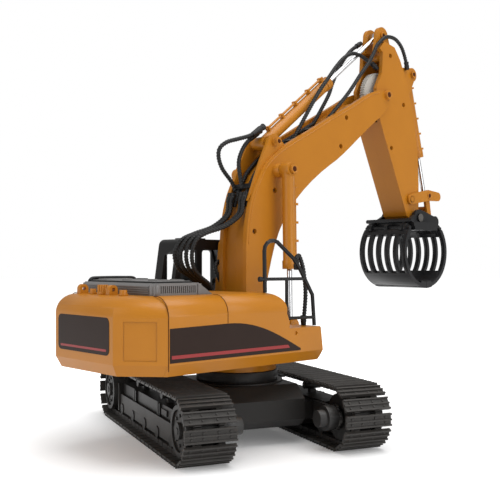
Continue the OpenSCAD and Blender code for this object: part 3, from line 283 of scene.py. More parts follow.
finishes = {
    "yellow": moulded(
        "yellow plastic", (0.50, 0.190, 0.011), (0.425, 0.153, 0.008), 0.34, dust_amount=0.01, shine=0.33
    ),
    "hood_grey": moulded(
        "hood plastic", (0.185, 0.178, 0.174), (0.130, 0.125, 0.122), 0.36,
        spread=0.1, bump=0.1, scale=700.0, dust_amount=0.05,
    ),
    "drive_grey": moulded("drive plastic", (0.016, 0.015, 0.014), (0.011, 0.010, 0.010), 0.5),
    "nylon_white": moulded("white nylon", (0.60, 0.58, 0.53), (0.50, 0.48, 0.43), 0.45, dust_amount=0.05),
    "battery_green": moulded("battery wrap", (0.05, 0.30, 0.10), (0.04, 0.24, 0.08), 0.3),
    "board_green": moulded("circuit board", (0.02, 0.16, 0.06), (0.015, 0.12, 0.045), 0.35),
    # The blacks differ in warmth, in gloss and in how much dust they hold
    "track_black": moulded(
        "track plastic", (0.040, 0.036, 0.033), (0.024, 0.022, 0.020), 0.48,
        spread=0.2, bump=0.25, scale=500.0, dust_amount=0.10, shine=0.3,
    ),
    "guard_grey": moulded(
        "guard plate plastic", (0.044, 0.040, 0.037), (0.028, 0.026, 0.024), 0.5,
        spread=0.15, bump=0.2, scale=500.0, dust_amount=0.08, shine=0.3,
    ),
    "frame_black": moulded(
        "frame plastic", (0.018, 0.016, 0.015), (0.011, 0.010, 0.009), 0.46,
        spread=0.15, bump=0.15, scale=600.0, dust_amount=0.04, shine=0.25,
    ),
    "cab_black": moulded(
        "cab plastic", (0.013, 0.012, 0.012), (0.008, 0.008, 0.008), 0.36,
        spread=0.1, bump=0.06, scale=800.0, dust_amount=0.02, shine=0.25,
    ),
    "grab_black": moulded(
        "grab plastic", (0.012, 0.012, 0.013), (0.007, 0.007, 0.008), 0.38,
        spread=0.12, bump=0.1, scale=700.0, dust_amount=0.02, shine=0.25,
    ),
    "hose_rubber": moulded(
        "hose rubber", (0.013, 0.013, 0.013), (0.007, 0.007, 0.007), 0.44,
        spread=0.1, bump=0.2, scale=1500.0, dust_amount=0.02, shine=0.3,
    ),
}
print("moulded finishes", len(finishes))

# %% [markdown]
# ## Metals
# Rods are polished and the motor cans are plated. Both take their character from fine lines that
# run round or along the piece, so a stretched noise drives the roughness and a faint bump.

# %% Turned and plated metal
SMOOTHEST, ROUGHEST = 0.7, 1.4


def metal(name, colour, rough, lines, bump):
    """Metal whose noise is stretched by lines, one factor for each axis."""
    material = bpy.data.materials.new(name)
    material.use_nodes = True
    tree = material.node_tree
    shader = tree.nodes["Principled BSDF"]
    shader.inputs["Base Color"].default_value = (*colour, 1)
    shader.inputs["Metallic"].default_value = 1.0
    place = tree.nodes.new("ShaderNodeTexCoord")
    stretch = tree.nodes.new("ShaderNodeMapping")
    stretch.inputs["Scale"].default_value = lines
    noise = tree.nodes.new("ShaderNodeTexNoise")
    noise.inputs["Scale"].default_value = 300
    noise.inputs["Detail"].default_value = 4
    band = tree.nodes.new("ShaderNodeMapRange")
    band.inputs["To Min"].default_value = rough * SMOOTHEST
    band.inputs["To Max"].default_value = rough * ROUGHEST
    relief = tree.nodes.new("ShaderNodeBump")
    relief.inputs["Strength"].default_value = bump
    relief.inputs["Distance"].default_value = 0.0001
    tree.links.new(place.outputs["Object"], stretch.inputs["Vector"])
    tree.links.new(stretch.outputs["Vector"], noise.inputs["Vector"])
    tree.links.new(noise.outputs["Fac"], band.inputs["Value"])
    tree.links.new(band.outputs["Result"], shader.inputs["Roughness"])
    tree.links.new(noise.outputs["Fac"], relief.inputs["Height"])
    tree.links.new(relief.outputs["Normal"], shader.inputs["Normal"])
    return material


finishes["rod_chrome"] = metal("chromed rod", (0.62, 0.62, 0.63), 0.16, (1, 1, 1), 0.02)
finishes["motor_steel"] = metal("plated can", (0.52, 0.52, 0.52), 0.35, (1, 1, 12), 0.05)
finishes["screw_steel"] = metal("blackened screw", (0.16, 0.15, 0.14), 0.4, (3, 3, 3), 0.1)

# %% [markdown]
# Each CAD node says which finish it takes, in the record's own words, so dressing the whole
# model is one loop.

# %% Dress the CAD pieces
slot_of = {part["node"]: part["material_slot"] for part in frame["record"]["subparts"]}
for name, obj in nodes.items():
    obj.data.materials.clear()
    obj.data.materials.append(finishes[slot_of[name]])

# The guard plates low on the track frames are a lighter grey on their upright faces
GUARD_TOP = 24.5
UPRIGHT = 0.5
for name in ("track_frame_left", "track_frame_right"):
    obj = nodes[name]
    obj.data.materials.append(finishes["guard_grey"])
    for face in obj.data.polygons:
        if face.center.z < GUARD_TOP * MM and abs(face.normal.z) < UPRIGHT:
            face.material_index = 1
print("dressed", len(nodes))

# %% [markdown]
# ## Softened edges
# No moulded edge is knife sharp: a small radius catches a line of light, and that line is what
# makes a part look solid. A bevel modifier does it after the CAD shape, without changing it.

# %% Bevel the CAD pieces
EDGE = {"track_black": 0.18, "grab_black": 0.35, "hood_grey": 0.3, "screw_steel": 0.15, "rod_chrome": 0.15}
PLAIN_EDGE = 0.4
WELD_GAP = 0.01
SHARP = math.radians(38)
NO_BEVEL = {"slew_ring_gear", "slew_pinion", "stick_gear", "slew_motor", "battery_pack", "circuit_board"}


def soften(obj, width):
    """Rounds every sharp edge by a width in millimetres."""
    weld = obj.modifiers.new("weld", "WELD")
    weld.merge_threshold = WELD_GAP * MM
    bevel = obj.modifiers.new("edges", "BEVEL")
    bevel.width = width * MM
    bevel.segments = 2
    bevel.limit_method = "ANGLE"
    bevel.angle_limit = SHARP
    bevel.harden_normals = True
    bevel.miter_outer = "MITER_ARC"


for name, obj in nodes.items():
    if name not in NO_BEVEL and slot_of[name] != "hose_rubber":
        soften(obj, EDGE.get(slot_of[name], PLAIN_EDGE))
print("softened", sum(1 for o in nodes.values() if o.modifiers))

# %% [markdown]
# ## Hoses
# The hydraulic hoses are braided rubber, wound so that a low spiral rib shows along each one.
# A curve with a bevel would give a smooth tube, so each hose is swept here ring by ring instead:
# the radius swells a little as the ring turns, and the swelling walks round the hose as it goes.
# The routes are the ones that the CAD model's own plain tubes follow, in millimetres.

# %% A smooth line through chosen points, in even steps


def smooth(route, steps=10):
    """Points on a curve that passes through every chosen point (Catmull-Rom)."""
    found = []
    for i in range(len(route) - 1):
        a, b, c, d = (Vector(route[min(max(i + k, 0), len(route) - 1)]) for k in (-1, 0, 1, 2))
        for k in range(steps):
            t = k / steps
            found.append(0.5 * (
                2 * b + (c - a) * t + (2 * a - 5 * b + 4 * c - d) * t * t + (3 * b - a - 3 * c + d) * t ** 3
            ))
    return found + [Vector(route[-1])]


def even(line, step):
    """The same line with its points an equal step apart."""
    found, left = [line[0]], step
    for a, b in zip(line, line[1:]):
        length = (b - a).length
        while left <= length and length > 0:
            found.append(a.lerp(b, left / length))
            left += step
        left -= length
    if (found[-1] - line[-1]).length < step / 2:
        found.pop()
    return found + [line[-1]]


# %% One hose: rings swept along the line, with a two-start spiral rib
HOSE_R = 1.7
HOSE_SIDES = 14
RIB_PITCH = 2.4
RIB_RISE = 0.26
RING_STEP = RIB_PITCH / 5


def sweep(build, line, radius_at):
    """A closed tube along a line. radius_at gives its radius from the distance and the angle."""
    side = Vector((0, 1, 0))
    travelled, last = 0.0, None
    for i, point in enumerate(line):
        forward = (line[min(i + 1, len(line) - 1)] - line[max(i - 1, 0)]).normalized()
        side = (side - forward * side.dot(forward)).normalized()
        across = forward.cross(side)
        ring = []
        for k in range(HOSE_SIDES):
            turn = 2 * math.pi * k / HOSE_SIDES
            out = side * math.cos(turn) + across * math.sin(turn)
            ring.append(build.verts.new(at(*(point + out * radius_at(travelled, turn)))))
        if last is None:
            build.faces.new(list(reversed(ring)))
        else:
            for k in range(HOSE_SIDES):
                build.faces.new((last[k], last[k - 1], ring[k - 1], ring[k]))
            travelled += (point - line[i - 1]).length
        last = ring
    build.faces.new(last)


def plain(radius):
    """The same radius all along."""
    return lambda travelled, turn: radius


def ribbed(travelled, turn):
    """Two ribs that wind round the hose, one full turn in two pitches."""
    return HOSE_R + RIB_RISE * math.cos(2 * math.pi * travelled / RIB_PITCH - 2 * turn)


def shown(name, build, finish_name, body=None):
    """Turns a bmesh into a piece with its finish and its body."""
    bmesh.ops.recalc_face_normals(build, faces=build.faces)
    mesh = bpy.data.meshes.new(name)
    build.to_mesh(mesh)
    build.free()
    mesh.materials.append(finishes[finish_name])
    piece = bpy.data.objects.new(name, mesh)
    bpy.context.scene.collection.objects.link(piece)
    if body:
        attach(piece, body)
    return piece


def hoses(name, routes, body=None):
    """One piece of ribbed hose for each route."""
    build = bmesh.new()
    for route in routes:
        sweep(build, even(smooth(route), RING_STEP), ribbed)
    piece = shown(name, build, "hose_rubber", body)
    piece.data.shade_smooth()
    return piece


# %% [markdown]
# The routes on the boom lie in its channel, so they are worked out from the outline of the
# boom's back: two bezier stretches and then four points up to the stick.

# %% The boom's back, and how a hose lies on it


def bezier(a, b, c, d, n):
    """Points in n equal steps of a bezier curve with four control points."""
    a, b, c, d = map(Vector, (a, b, c, d))
    found = []
    for i in range(n + 1):
        t = i / n
        u = 1 - t
        found.append(u ** 3 * a + 3 * u * u * t * b + 3 * u * t * t * c + t ** 3 * d)
    return found


boom_back = [Vector((-4.9, 122))]
boom_back += bezier((-4.9, 150), (-5, 172), (-1.5, 194), (6.5, 209), 7)
boom_back += bezier((14, 222), (24, 236), (44, 247), (69, 259.5), 7)
boom_back += [Vector(p) for p in ((98, 275.5), (128, 291), (152.5, 304.5), (168, 310.5))]
CHANNEL = Vector((3.2, -4.2))
HOSE_LIFT = HOSE_R + 0.35
FIRST = 6


def boom_route(y, last):
    """A hose that lies in the channel at y, from the first place on the boom's back to the last."""
    found = []
    for i in range(FIRST, last + 1):
        run = (boom_back[i + 1] - boom_back[i - 1]).normalized()
        p = boom_back[i] + CHANNEL + HOSE_LIFT * Vector((-run.y, run.x))
        found.append((p.x, y, p.y))
    return found


boom_a, boom_b, boom_c = boom_route(-9.4, 17), boom_route(-5.6, 15), boom_route(5.6, 17)
print("boom hoses start at", [round(v, 1) for v in boom_a[0]])

# %% [markdown]
# Four hoses come up out of the deck beside the cab, bulge out behind it and reach the boom.
# They cross the boom's joint, so they follow the deck at one end and the boom at the other, and
# bend in between. The three hoses at the stick's head do the same from the boom to the stick.

# %% Hoses from the deck to the boom
FLOOR_TOP = 68.5
FAN = 0.55
OUTER_Y = 26.1
deck_hose_y = ((12.6, -9.4), (17.1, -5.6), (21.6, 5.6), (OUTER_Y, 9.4))


def deck_route(low, high):
    """From y low in the deck to y high on the boom. The inner strands bulge out less, so they fan out."""
    inward = FAN * (OUTER_Y - low)
    return [
        (-12, low, FLOOR_TOP + 0.1), (-12, low, 103), (-17, low, 122.5), (-29, low, 132),
        (-42 + 0.7 * inward, low - 1, 139), (-47 + inward, low - 2, 151),
        (-42 + 0.7 * inward, low - 4, 162), (-29, (2 * low + high) / 3, 168),
        (-14, (low + 2 * high) / 3, 174), (-4, high, 184), (-1.4, high, 196),
    ]


deck_hoses = hoses("deck_hose_bundle", [deck_route(*y) for y in deck_hose_y])
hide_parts("deck_hoses")
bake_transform(deck_hoses)

# %% Hoses held on the boom, with the loop at its bend
loop_route = [
    (6.8, 9.4, 204), (2.4, 9.4, 212), (-9, 8, 222), (-15, 6, 231), (-15.5, 4, 238.5), (-9.5, 2, 244),
    (1, 0, 247.5), (12, -2, 251), (22, -2.5, 256), (28, -2.5, 260.5),
]
short_route = [(7.3, 1, 206), (4.6, 1, 216), (3.5, 1.6, 229), (9, 2, 241), (17.5, 2, 250), (27.5, 2, 257.4)]
boom_hoses = hoses("boom_hose_run", [boom_a, boom_b, boom_c, loop_route, short_route], "boom")
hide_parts("boom_hoses")

# %% Hoses from the boom to the stick
tip_routes = {
    "tip_hose_outer": [
        boom_a[-1], (126, -13.5, 301), (141.5, -15, 320), (158, -14.5, 338), (170, -13, 354.5),
    ],
    "tip_hose_middle": [
        boom_b[-1], (78, -9.5, 281), (90, -11, 299), (102, -11.5, 313), (114, -10.5, 325.5),
        (127, -8.5, 336), (140, -6.5, 342.5), (152, -5.5, 343.5), (163, -6, 340.5), (174, -8.6, 335),
    ],
    "tip_hose_inner": [
        boom_c[-1], (123, 8.4, 301.5), (131, 9.4, 316), (141, 9.4, 333), (155, 9, 349.5), (170, 9, 360),
    ],
}
for name, route in tip_routes.items():
    piece = hoses(name, [route])
    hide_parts("tip_hoses")
    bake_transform(piece)

# %% The hose over the stick's head, and the two short ones on the deck
over_head = [
    (170.0, -13, 354.5), (182, -12.4, 364.2), (192, -12, 367), (202, -12, 365.8), (211, -12, 359.5),
    (217, -12, 349), (219.5, -12, 341),
]
stick_hoses = hoses("stick_hose_arch", [over_head], "stick")
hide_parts("stick_hoses")
rail_hose = [
    (14, -55.7, 140), (14.4, -55.3, 147), (18, -54.8, 149), (23.4, -54, 139), (26.8, -53.5, 122),
    (26, -53.5, 107), (24.5, -53.5, 97), (24.5, -53.5, 93.1),
]
foot_hose = [
    (6.4, 26.5, 143), (0, 25.5, 144), (-5, 21.8, 139.5), (-3.6, 19.5, 131), (1.5, 19.5, 124),
    (4.5, 19.5, 115),
]
service_hoses = hoses("service_hose_pair", [rail_hose, foot_hose], "upper")
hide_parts("service_hoses")

# %% [markdown]
# ## Fittings on the hoses
# The hoses end in swaged ferrules, and clips hold the bundle down on the boom. A ferrule is a
# short turned sleeve: a profile of radius against length, swept along the hose's direction.

# %% Ferrules at the hose ends
FERRULE = (
    (0.0, 2.1), (0.4, 2.5), (3.6, 2.5), (4.2, 2.2), (4.8, 2.2), (5.2, 2.55), (7.6, 2.55), (8.0, 2.1),
)
LONG_SLEEVE = (
    (0.0, 2.3), (0.5, 2.9), (10.5, 2.9), (11.0, 2.5), (12.0, 2.5), (12.4, 3.0), (15.0, 3.0), (15.4, 2.4),
)


def profile_radius(profile):
    """The radius at a distance, from a list of distances and radii."""
    def radius_at(travelled, turn):
        for (s0, r0), (s1, r1) in zip(profile, profile[1:]):
            if travelled <= s1:
                return r0 + (r1 - r0) * (travelled - s0) / (s1 - s0)
        return profile[-1][1]
    return radius_at


def ferrules(name, starts, body, profile=FERRULE):
    """One sleeve at each place: a point and a second point that gives its direction."""
    build = bmesh.new()
    for p, q in starts:
        p = Vector(p)
        way = (Vector(q) - p).normalized()
        sweep(build, [p + way * s for s, r in profile], profile_radius(profile))
    shown(name, build, "cab_black", body).data.shade_flat()


deck_starts = [((-1.6, high, 194.5), (3.2, high, 207)) for low, high in deck_hose_y]
ferrules("boom_hose_ferrules", deck_starts, "boom")
ferrules(
    "stick_cylinder_ferrules",
    [((15.5, -2.2, 252.3), (28, -2.5, 260.5)), ((16.0, 2, 248.8), (27.5, 2, 257.4))],
    "boom",
    LONG_SLEEVE,
)
ferrules(
    "stick_ferrules",
    [
        ((175.6, -8.9, 333.6), (168, -7.4, 338.6)), ((172.4, 9, 361.4), (166, 9, 357.4)),
        ((219.9, -12, 339), (218.6, -12, 345)),
    ],
    "stick",
)
ferrules(
    "deck_ferrules",
    [
        ((14, -55.7, 138), (14.3, -55.5, 145)), ((24.5, -53.5, 93.2), (24.5, -53.5, 99)),
        ((8.6, 26.7, 142.6), (2, 26, 143.9)), ((5.0, 19.5, 113.6), (3.2, 19.5, 119)),
    ],
    "upper",
)

# %% [markdown]
# A clip is a strap with round corners that the hoses run through. One helper gives depth to any
# closed outline, and a bevel modifier takes the edge off.

# %% A flat piece with depth, from an outline


def prism(build, outline, depth, place):
    """A closed slab: an outline in u and v, from one end of depth to the other. place gives a point."""
    near = [build.verts.new(place(u, v, depth[0])) for u, v in outline]
    far = [build.verts.new(place(u, v, depth[1])) for u, v in outline]
    build.faces.new(near)
    build.faces.new(list(reversed(far)))
    for k in range(len(outline)):
        build.faces.new((near[k - 1], near[k], far[k], far[k - 1]))


def arc(cx, cy, r, a0, a1, n):
    """Points on a round stretch, with the angles in degrees."""
    angles = [math.radians(a0 + (a1 - a0) * i / n) for i in range(n + 1)]
    return [(cx + r * math.cos(a), cy + r * math.sin(a)) for a in angles]


def rounded(u0, v0, u1, v1, r, n=5):
    """A rectangle with round corners."""
    return (
        arc(u1 - r, v0 + r, r, -90, 0, n) + arc(u1 - r, v1 - r, r, 0, 90, n)
        + arc(u0 + r, v1 - r, r, 90, 180, n) + arc(u0 + r, v0 + r, r, 180, 270, n)
    )


# %% Clips over the boom's hoses
CLIP_HALF = 2.2
CLIP_FLOOR, CLIP_TOP = 0.2, 2 * HOSE_R + 1.5
CLIP_CORNER = 1.4


def boom_clip(build, i, share, y_from, y_to):
    """A strap across the channel, a share of the way from one point of the boom's back to the next."""
    here = boom_back[i].lerp(boom_back[i + 1], share) + CHANNEL
    run = (boom_back[i + 1] - boom_back[i]).normalized()
    lift = Vector((-run.y, run.x))

    def place(u, v, w):
        p = here + run * w + lift * v
        return at(p.x, u, p.y)

    outline = rounded(y_from, CLIP_FLOOR, y_to, CLIP_TOP, CLIP_CORNER)
    prism(build, outline, (-CLIP_HALF, CLIP_HALF), place)


build = bmesh.new()
boom_clip(build, 8, 0.1, -12.4, 13.6)
boom_clip(build, 14, 0.5, -12.2, -3.0)
boom_clip(build, 16, 0.3, -12.2, -3.0)
clips = shown("boom_hose_clips", build, "cab_black", "boom")
soften(clips, 0.4)
print("clips", len(clips.data.polygons), "faces")

# %% [markdown]
# ## Vinyl panels
# Dark vinyl panels are stuck on both flanks and on the counterweight, with a thin red line low
# on each. A sticker has a real thickness, so each is a sheet a quarter of a millimetre thick that
# stands on the moulding. Nothing is printed on them.

# %% Finishes for the vinyl, and a painted shade for what lies in shadow in a hole or a gap
finishes["vinyl_dark"] = moulded(
    "dark vinyl", (0.030, 0.017, 0.013), (0.022, 0.012, 0.009), 0.42,
    spread=0.06, bump=0.03, scale=1400.0, dust_amount=0.0, shine=0.12,
)
finishes["vinyl_red"] = moulded(
    "red vinyl", (0.30, 0.012, 0.012), (0.24, 0.008, 0.008), 0.40,
    spread=0.06, bump=0.03, scale=1400.0, dust_amount=0.0,
)
finishes["painted_recess_shade"] = moulded(
    "socket shadow", (0.085, 0.028, 0.012), (0.060, 0.018, 0.008), 0.7,
    spread=0.1, bump=0.1, dust_amount=0.0, shine=0.05,
)

# %% Where the panels lie
SHEET = (0.0, 0.25)
LINE_SHEET = (0.23, 0.31)
flank_y = abs(edge("engine_cover_right", 0, 1))
rear_x = edge("counterweight", 0, 0)
corner_x = edge("counterweight", 1, 0)
seam_x = edge("front_deck", 0, 0)
print("panels on flank", round(flank_y, 2), "rear", round(rear_x, 2))

# %% Flank panels: straight to the seam, then sweeping down to a point at the step
PANEL_LOW, PANEL_HIGH, PANEL_END = 75.5, 99.0, 100.0
LINE_LOW, LINE_HIGH = 78.2, 80.6
SWEEP_MIN = 26


def sweeps_down(x_to):
    """Whether a panel reaches far enough past the seam to have its sweep."""
    return x_to > seam_x + SWEEP_MIN


def flank_outline(x_to):
    """The panel's outline in x and z."""
    rear = corner_x + 1
    if not sweeps_down(x_to):
        front = [(x_to, PANEL_END), (seam_x, PANEL_END)]
    else:
        curve = bezier((seam_x, PANEL_END), (-38, PANEL_END + 0.5), (-17, 89), (x_to, PANEL_LOW + 1.5), 14)
        front = [(p.x, p.y) for p in reversed(curve)]
    return [(rear, PANEL_LOW), (x_to, PANEL_LOW), *front, (rear, PANEL_HIGH)]


def flank_panel(name, side, x_to):
    def place(u, v, w):
        return at(u, side * (flank_y + w), v)

    panel = bmesh.new()
    prism(panel, flank_outline(x_to), SHEET, place)
    shown(name, panel, "vinyl_dark", "upper")
    rear, end = corner_x + 2.5, x_to - (12 if sweeps_down(x_to) else 1.5)
    line = bmesh.new()
    outline = [(rear, LINE_LOW), (end, LINE_LOW), (end - 2, LINE_HIGH), (rear, LINE_HIGH)]
    prism(line, outline, LINE_SHEET, place)
    shown(name + "_line", line, "vinyl_red", "upper")


flank_panel("flank_panel_right", -1, 7)
flank_panel("flank_panel_left", 1, -42)

# %% Rear panel with round corners


def rear_place(u, v, w):
    return at(rear_x - w, u, v)


build = bmesh.new()
prism(build, rounded(-34.5, 80, 34.5, 106, 4), SHEET, rear_place)
shown("rear_panel", build, "vinyl_dark", "upper")
build = bmesh.new()
prism(build, rounded(-31, 82.6, 31, 84.2, 0.6), LINE_SHEET, rear_place)
shown("rear_panel_line", build, "vinyl_red", "upper")

# %% [markdown]
# ## Raised rims on the boom
# Each side plate of the boom is stiffened by a low rim just inside its upper edge. The rim is a
# thin bead that follows the same outline as the hoses' channel, a little further in.

# %% Rims along the boom's side plates
BOOM_HALF = 17.0
RIM_IN, RIM_R = 2.6, 0.45
RIM_FIRST = 2


def boom_inside(i, inward):
    """A point of the boom's back moved into the side plate."""
    run = (boom_back[min(i + 1, len(boom_back) - 1)] - boom_back[max(i - 1, 0)]).normalized()
    return boom_back[i] + inward * Vector((run.y, -run.x))


build = bmesh.new()
inside = [boom_inside(i, RIM_IN) for i in range(RIM_FIRST, len(boom_back))]
for side in (-1, 1):
    line = smooth([(p.x, side * BOOM_HALF, p.y) for p in inside], 4)
    sweep(build, even(line, 2.0), plain(RIM_R))
rims = shown("boom_rims", build, "yellow", "boom")
rims.data.shade_smooth()
print("rims", len(rims.data.polygons), "faces")

# %% [markdown]
# ## Seams of the body
# The counterweight, the engine covers and the front deck meet in narrow dark seams that run up
# the flank and over the shoulder. Each is a thin dark bead that lies half in the surface, which
# reads as the shadow in the gap.

# %% Seams over the shoulders
SHOULDER = 14.0
SEAM_R = 0.28
SEAM_LOW, SEAM_INNER = 70.0, 50.0
PANEL_TOP = 100.4
body_top = edge("engine_cover_right", 1, 2)
build = bmesh.new()
for x, z_from in ((corner_x, SEAM_LOW), (seam_x, PANEL_TOP)):
    for side in (-1, 1):
        shoulder = arc(flank_y - SHOULDER, body_top - SHOULDER, SHOULDER, 0, 90, 15)
        line = [(flank_y, z_from), *shoulder, (SEAM_INNER, body_top)]
        sweep(build, [Vector((x, side * y, z)) for y, z in line], plain(SEAM_R))
seams = shown("body_seams", build, "painted_recess_shade", "upper")
print("seams", len(seams.data.polygons), "faces")

# %% [markdown]
# ## Pin ends
# The pins of the boom and the stick have yellow heads, most with a raised ring round a socket whose hollow
# is shown as a dark disc of painted shade. A CAD node may show more than one finish: the faces near a pin's
# own axis turn yellow, and the small screws beside them stay dark.

# %% The pins' axes, in x and z from the slewing axis
STICK_PIVOT = (181.0, 307.2)
BOOM_CYLINDER_PIN = (30.7, 221.6)
STICK_CYLINDER_PIN = (30.0, 246.5)
STICK_ROD_PIN = (183.9, 367.4)
TOOL_CYLINDER_PIN = (232.2, 336.5)
ROCKER_PIN = (221.0, 208.0)
LINK_PIN = (251.0, 213.0)
HEAD_REACH = 5.0
HEADS_BEYOND = 9.0


def paint_heads(name, axes):
    """Turns the faces at the outer ends of a node's pins yellow, and counts them."""
    obj = nodes[name]
    obj.data.materials.append(finishes["yellow"])
    painted = 0
    for face in obj.data.polygons:
        x, y, z = (face.center - at(0, 0, 0)) / MM
        near = min(math.hypot(x - px, z - pz) for px, pz in axes)
        if near < HEAD_REACH and abs(y) > HEADS_BEYOND:
            face.material_index = 1
            painted += 1
    return painted


boom_heads = paint_heads("boom_pins", (STICK_PIVOT, BOOM_CYLINDER_PIN, STICK_CYLINDER_PIN))
stick_heads = paint_heads("stick_pins", (STICK_ROD_PIN, TOOL_CYLINDER_PIN, ROCKER_PIN))
print("yellow faces", boom_heads, stick_heads)

# %% A raised ring round a dark disc of painted shade for the socket's hollow, turned on the end of a pin: shares of its radius, and rises
RING = ((1.0, 0.0), (1.0, 0.55), (0.9, 0.7), (0.74, 0.7), (0.66, 0.5), (0.62, 0.3))
SOCKET = ((0.64, 0.32), (0.58, 0.12))
TURNS = 24


def turned(build, profile, x, z, y, side, r):
    """A closed piece turned about a pin's axis, standing out from y."""
    last = None
    for share, rise in profile:
        ring = []
        for k in range(TURNS):
            turn = 2 * math.pi * k / TURNS
            across = Vector((math.cos(turn), math.sin(turn))) * r * share
            ring.append(build.verts.new(at(x + across.x, side * (y + rise), z + across.y)))
        if last:
            for k in range(TURNS):
                build.faces.new((last[k - 1], last[k], ring[k], ring[k - 1]))
        else:
            build.faces.new(ring)
        last = ring
    build.faces.new(last)


def pin_ends(name, places, body):
    """Each place is a pin's axis, how far out its end lies, and the ring's radius."""
    # In each yellow ring, a dark disc is the painted shade of the hollow pin end
    for part, profile, finish, slot in (
        ("rings", RING, "yellow", "yellow"), ("sockets", SOCKET, "painted_recess_shade", None),
    ):
        build = bmesh.new()
        for (x, z), y, r in places:
            for side in (-1, 1):
                turned(build, profile, x, z, y, side, r)
        shown(name + "_" + part, build, finish, body)


# %% The ends of the pins, and how far out each lies
STICK_CYLINDER_END, STICK_PIVOT_END = 19.7, 19.2
STICK_ROD_END, TOOL_CYLINDER_END = 10.0, 11.4
boom_end = edge("boom_pins", 1, 1)
rocker_end = edge("rocker", 1, 1) - 0.1
pin_ends(
    "boom_pin",
    [
        (BOOM_CYLINDER_PIN, boom_end, 3.6), (STICK_CYLINDER_PIN, STICK_CYLINDER_END, 2.9),
        (STICK_PIVOT, STICK_PIVOT_END, 4.2),
    ],
    "boom",
)
pin_ends(
    "stick_pin",
    [(STICK_ROD_PIN, STICK_ROD_END, 3.1), (TOOL_CYLINDER_PIN, TOOL_CYLINDER_END, 3.4)],
    "stick",
)
pin_ends("rocker_pin", [(ROCKER_PIN, rocker_end, 3.6), (LINK_PIN, rocker_end, 3.4)], "rocker")
print("pin ends out to", round(boom_end, 1), "on the boom and", round(rocker_end, 1), "on the rocker")

# %% [markdown]
# ## Bolts on the track shoes
# Each shoe is bolted to its chain by hexagon heads in four pairs. They follow the belt round its
# two straight runs and two half circles, so one function gives the place along the belt.

# %% The belt's path
SHOE_PITCH = 11.3
RUN_SHOES = 18
TEETH = 12
SHOES = 2 * RUN_SHOES + TEETH
SPROCKET_BACK = 82
TRACK_ANGLE = math.radians(71)
BELT_Y = 63.0
PLATE_OUT, GROUSER = 2.2, 3.6
pitch_r = SHOE_PITCH * TEETH / (2 * math.pi)
run = RUN_SHOES * SHOE_PITCH
axle_z = pitch_r + GROUSER


def belt_place(s):
    """x, z and the outward angle at a length s along the belt, from the sprocket's top."""
    half = run + math.pi * pitch_r
    flip = s >= half
    t = s - half if flip else s
    x, z, a = t, pitch_r, math.pi / 2
    if t > run:
        a = math.pi / 2 - (t - run) / pitch_r
        x, z = run + pitch_r * math.cos(a), pitch_r * math.sin(a)
    if flip:
        x, z, a = run - x, -z, a + math.pi
    return x - SPROCKET_BACK, z + axle_z, a


def under(x, y, z):
    """A point of the undercarriage, which stands turned under the superstructure."""
    c, s = math.cos(TRACK_ANGLE), math.sin(TRACK_ANGLE)
    return at(x * c - y * s, x * s + y * c, z)


# %% Four pairs of bolt heads on every shoe
BOLT_Y = (-14.5, -5.5, 5.5, 14.5)
BOLT_ALONG = (-2.0, 2.0)
BOLT_R = 0.85
BOLT_DEPTH = (-0.1, 0.7)
hexagon = arc(0, 0, BOLT_R, 0, 300, 5)


def shoe_bolts(name, side):
    build = bmesh.new()
    for i in range(SHOES):
        x, z, a = belt_place(i * SHOE_PITCH)
        out, along = Vector((math.cos(a), math.sin(a))), Vector((math.sin(a), -math.cos(a)))
        for y in BOLT_Y:
            for step in BOLT_ALONG:
                def place(u, v, w):
                    p = Vector((x, z)) + along * (step + u) + out * (PLATE_OUT + w)
                    return under(p.x, side * (BELT_Y + y) + v, p.y)
                prism(build, hexagon, BOLT_DEPTH, place)
    shown(name, build, "track_black", "undercarriage")


shoe_bolts("shoe_bolts_left", 1)
shoe_bolts("shoe_bolts_right", -1)
print("bolts on", SHOES, "shoes of each belt")

# %% [markdown]
# ## Engine hood details
# The hood is a separate grey moulding. A dark seal runs round its lid, the lid has two hinges
# at its front, a round rail stiffens its left edge, and slats run across its rear face.

# %% The hood's sizes, and a flat ring between two outlines
hood_x0, hood_x1 = edge("engine_hood", 0, 0), edge("engine_hood", 1, 0)
hood_y, hood_top = edge("engine_hood", 1, 1), edge("engine_hood", 1, 2)
lid_x0, lid_x1, lid_y = edge("hood_lid", 0, 0), edge("hood_lid", 1, 0), edge("hood_lid", 1, 1)
print("hood top", round(hood_top, 1), "lid top", round(edge("hood_lid", 1, 2), 1))


def frame_ring(build, outer, inner, depth, place):
    """A flat ring between two outlines with the same number of points."""
    low, high = (
        [[build.verts.new(place(u, v, w)) for u, v in line] for line in (outer, inner)] for w in depth
    )
    for k in range(len(outer)):
        build.faces.new((low[0][k - 1], low[0][k], high[0][k], high[0][k - 1]))
        build.faces.new((low[1][k], low[1][k - 1], high[1][k - 1], high[1][k]))
        for layer in (low, high):
            build.faces.new((layer[0][k - 1], layer[0][k], layer[1][k], layer[1][k - 1]))


# %% Seal round the lid
SEAL_OUT, SEAL_IN = 1.6, 0.4
build = bmesh.new()
frame_ring(
    build,
    rounded(lid_x0 - SEAL_OUT, -lid_y - SEAL_OUT, lid_x1 + SEAL_OUT, lid_y + SEAL_OUT, 2.4),
    rounded(lid_x0 + SEAL_IN, -lid_y + SEAL_IN, lid_x1 - SEAL_IN, lid_y - SEAL_IN, 1.2),
    (hood_top - 0.05, hood_top + 1.1),
    at,
)
soften(shown("hood_seal", build, "hose_rubber", "upper"), 0.3)

